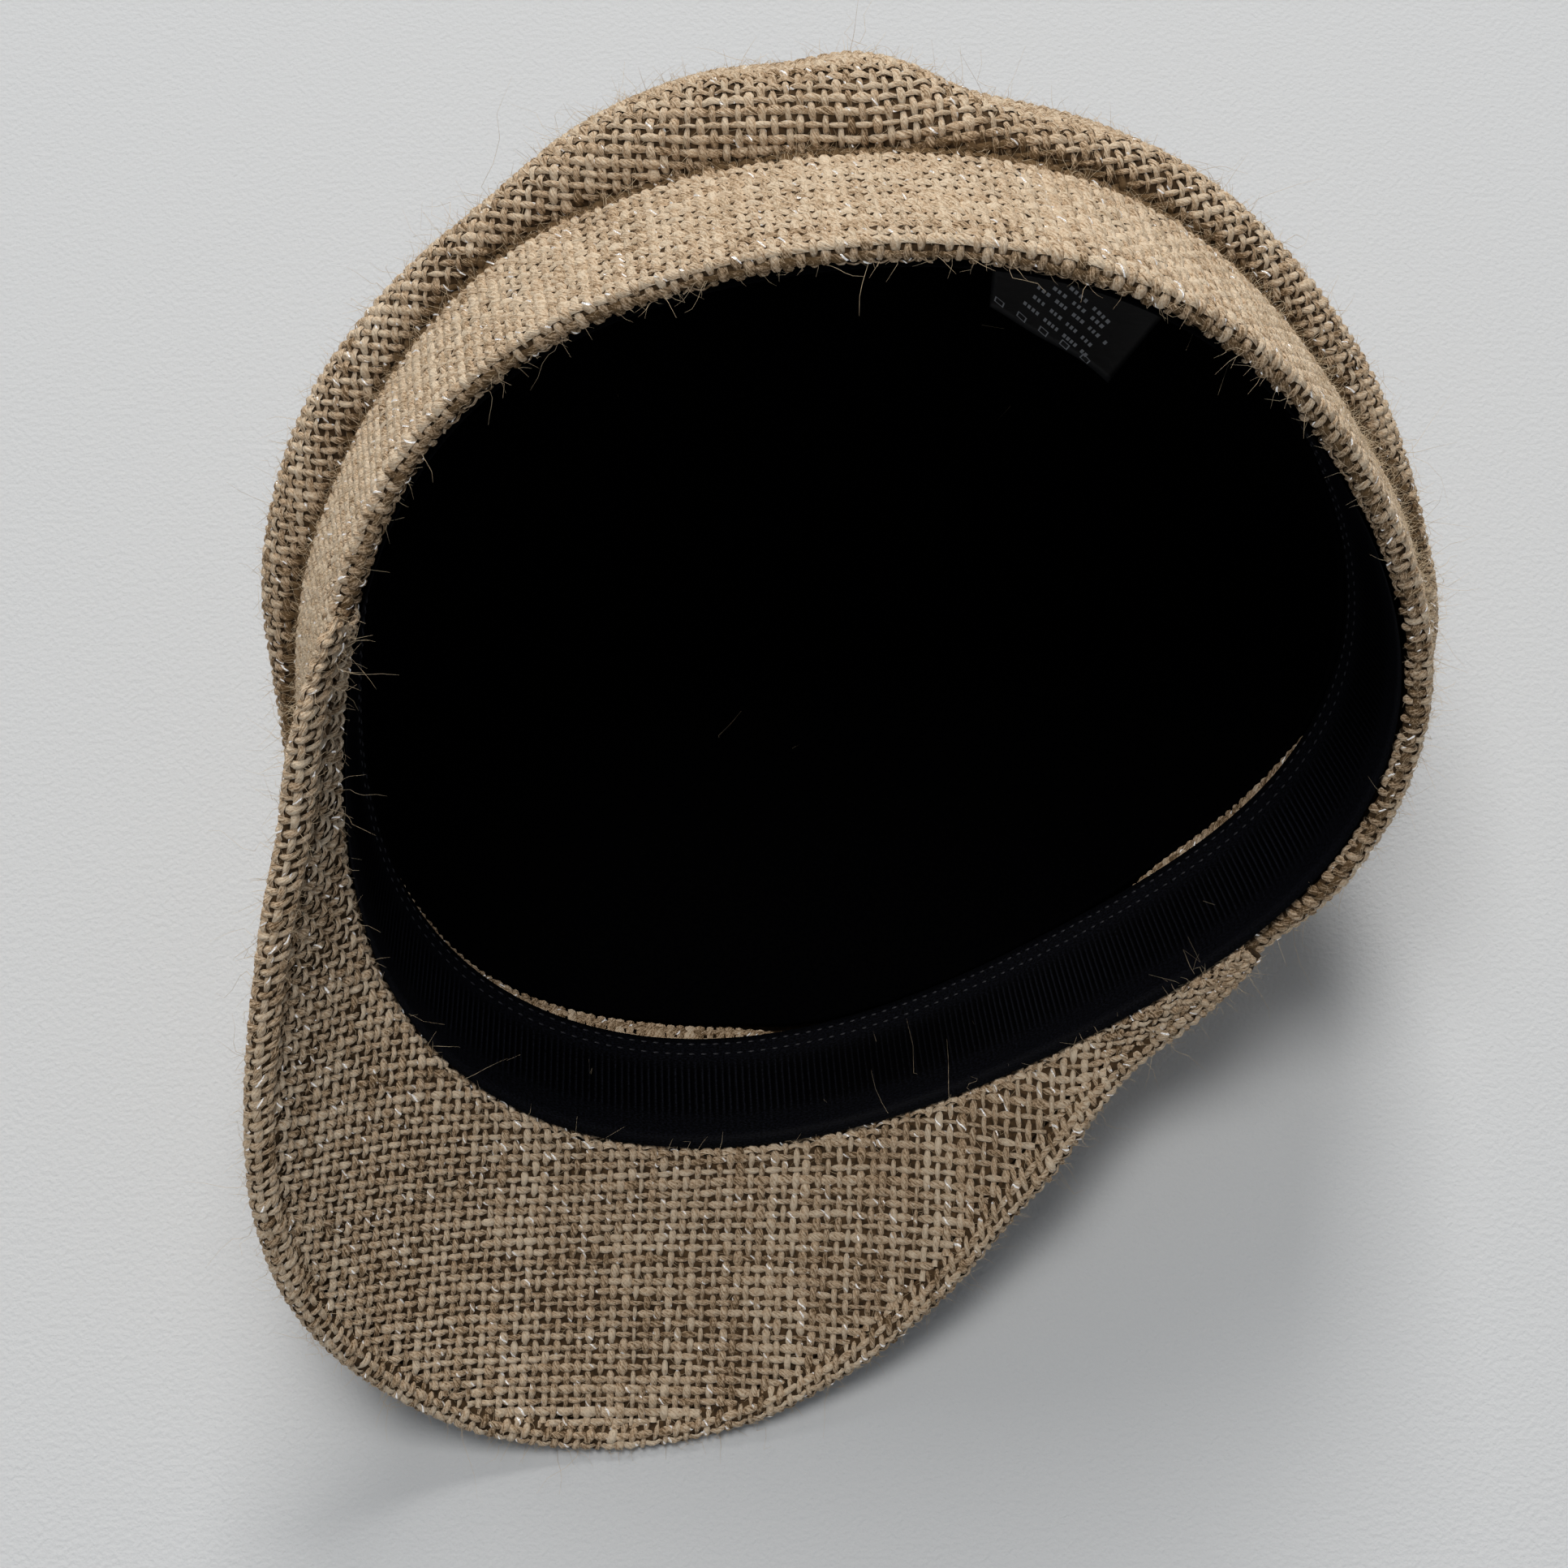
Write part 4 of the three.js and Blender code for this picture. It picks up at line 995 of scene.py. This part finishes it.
def build_label_marks():
    """Plain small blocks in rows, with a gap after every few, and a last row of plain open
    squares. Each block is a flat quad just over the satin."""
    local = np.random.default_rng(12)
    corners = []
    for s0, t0, s1, t1, count in MARK_ROWS:
        step = np.array((s1 - s0, t1 - t0)) / count
        gap = local.integers(3, 6)
        for i in range(count):
            if i % (gap + 1) == gap:
                continue
            start = np.array((s0, t0)) + step * i
            wide = step * local.uniform(0.5, 0.72)
            corners.append((start, start + wide, start + wide + MARK_TALL, start + MARK_TALL))
    for i in range(5):
        middle = SQUARES_START + SQUARES_STEP * i
        ring = [middle + SQUARE_RIGHT * x + SQUARE_UP * y
                for x, y in ((-1, -1), (1, -1), (1, 1), (-1, 1))]
        for a, b in zip(ring, ring[1:] + ring[:1]):
            corners.append((a, b, b + (middle - b) * SQUARE_LINE, a + (middle - a) * SQUARE_LINE))
    s, t = np.moveaxis(np.array(corners), -1, 0)
    place, facing = label_place(s, np.clip(t, 0, 0.99))
    points = lay_down(place - facing * 0.06).reshape(-1, 3)
    quads = np.arange(len(points)).reshape(-1, 4)[:, ::-1]
    return make_piece("label_marks", points, quads, print_ink, smooth=False)


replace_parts(build_sweatband(), "sweatband")
build_stitches()
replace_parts(build_lining(), "lining")
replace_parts(build_label(), "label")
build_label_marks()


def build_floor():
    """A plain pale table top, 4 m wide."""
    # Painted and pebbled board: matt, with bumps about 1 mm wide.
    material, shader = new_material("pale table top")
    place = add(material, "TexCoord", output="Object")
    grain = add(material, "TexNoise", {"Vector": place, "Scale": 1000.0, "Detail": 2.0})
    bump = add(material, "Bump", {"Height": grain, "Strength": 0.7, "Distance": 0.35 * MM})
    connect(material, shader, {
        "Base Color": linear("#d3d7db"), "Roughness": 0.75, "Specular IOR Level": 0.2,
        "Normal": bump})
    mesh = bpy.data.meshes.new("table_top")
    mesh.from_pydata([(-2, -2, 0), (2, -2, 0), (2, 2, 0), (-2, 2, 0)], [], [(0, 1, 2, 3)])
    mesh.materials.append(material)
    floor = bpy.data.objects.new("table_top", mesh)
    scene.collection.objects.link(floor)


def area_light(name, place, width, energy):
    """Square lamp that faces the cap's place on the table. Lengths are in metres."""
    light = bpy.data.lights.new(name, "AREA")
    light.size = width
    light.energy = energy
    light.color = linear("#fffaf4")[:3]
    lamp = bpy.data.objects.new(name, light)
    place = np.array(place, float)
    back = place / np.linalg.norm(place)
    right = np.cross((0, 1, 0.01), back)
    right /= np.linalg.norm(right)
    turned = np.stack([right, np.cross(back, right), back, place], 1)
    lamp.matrix_world = Matrix([*turned.tolist(), (0, 0, 0, 1)])
    scene.collection.objects.link(lamp)


build_floor()
world = bpy.data.worlds.new("soft daylight")
world.use_nodes = True
world.node_tree.nodes["Background"].inputs["Color"].default_value = linear("#e9eef4")
world.node_tree.nodes["Background"].inputs["Strength"].default_value = 0.22
scene.world = world
area_light("ceiling", (-0.45, 0.5, 3.4), 1.3, 49)
area_light("window", (0.1, 3.7, 3.6), 1.4, 137)
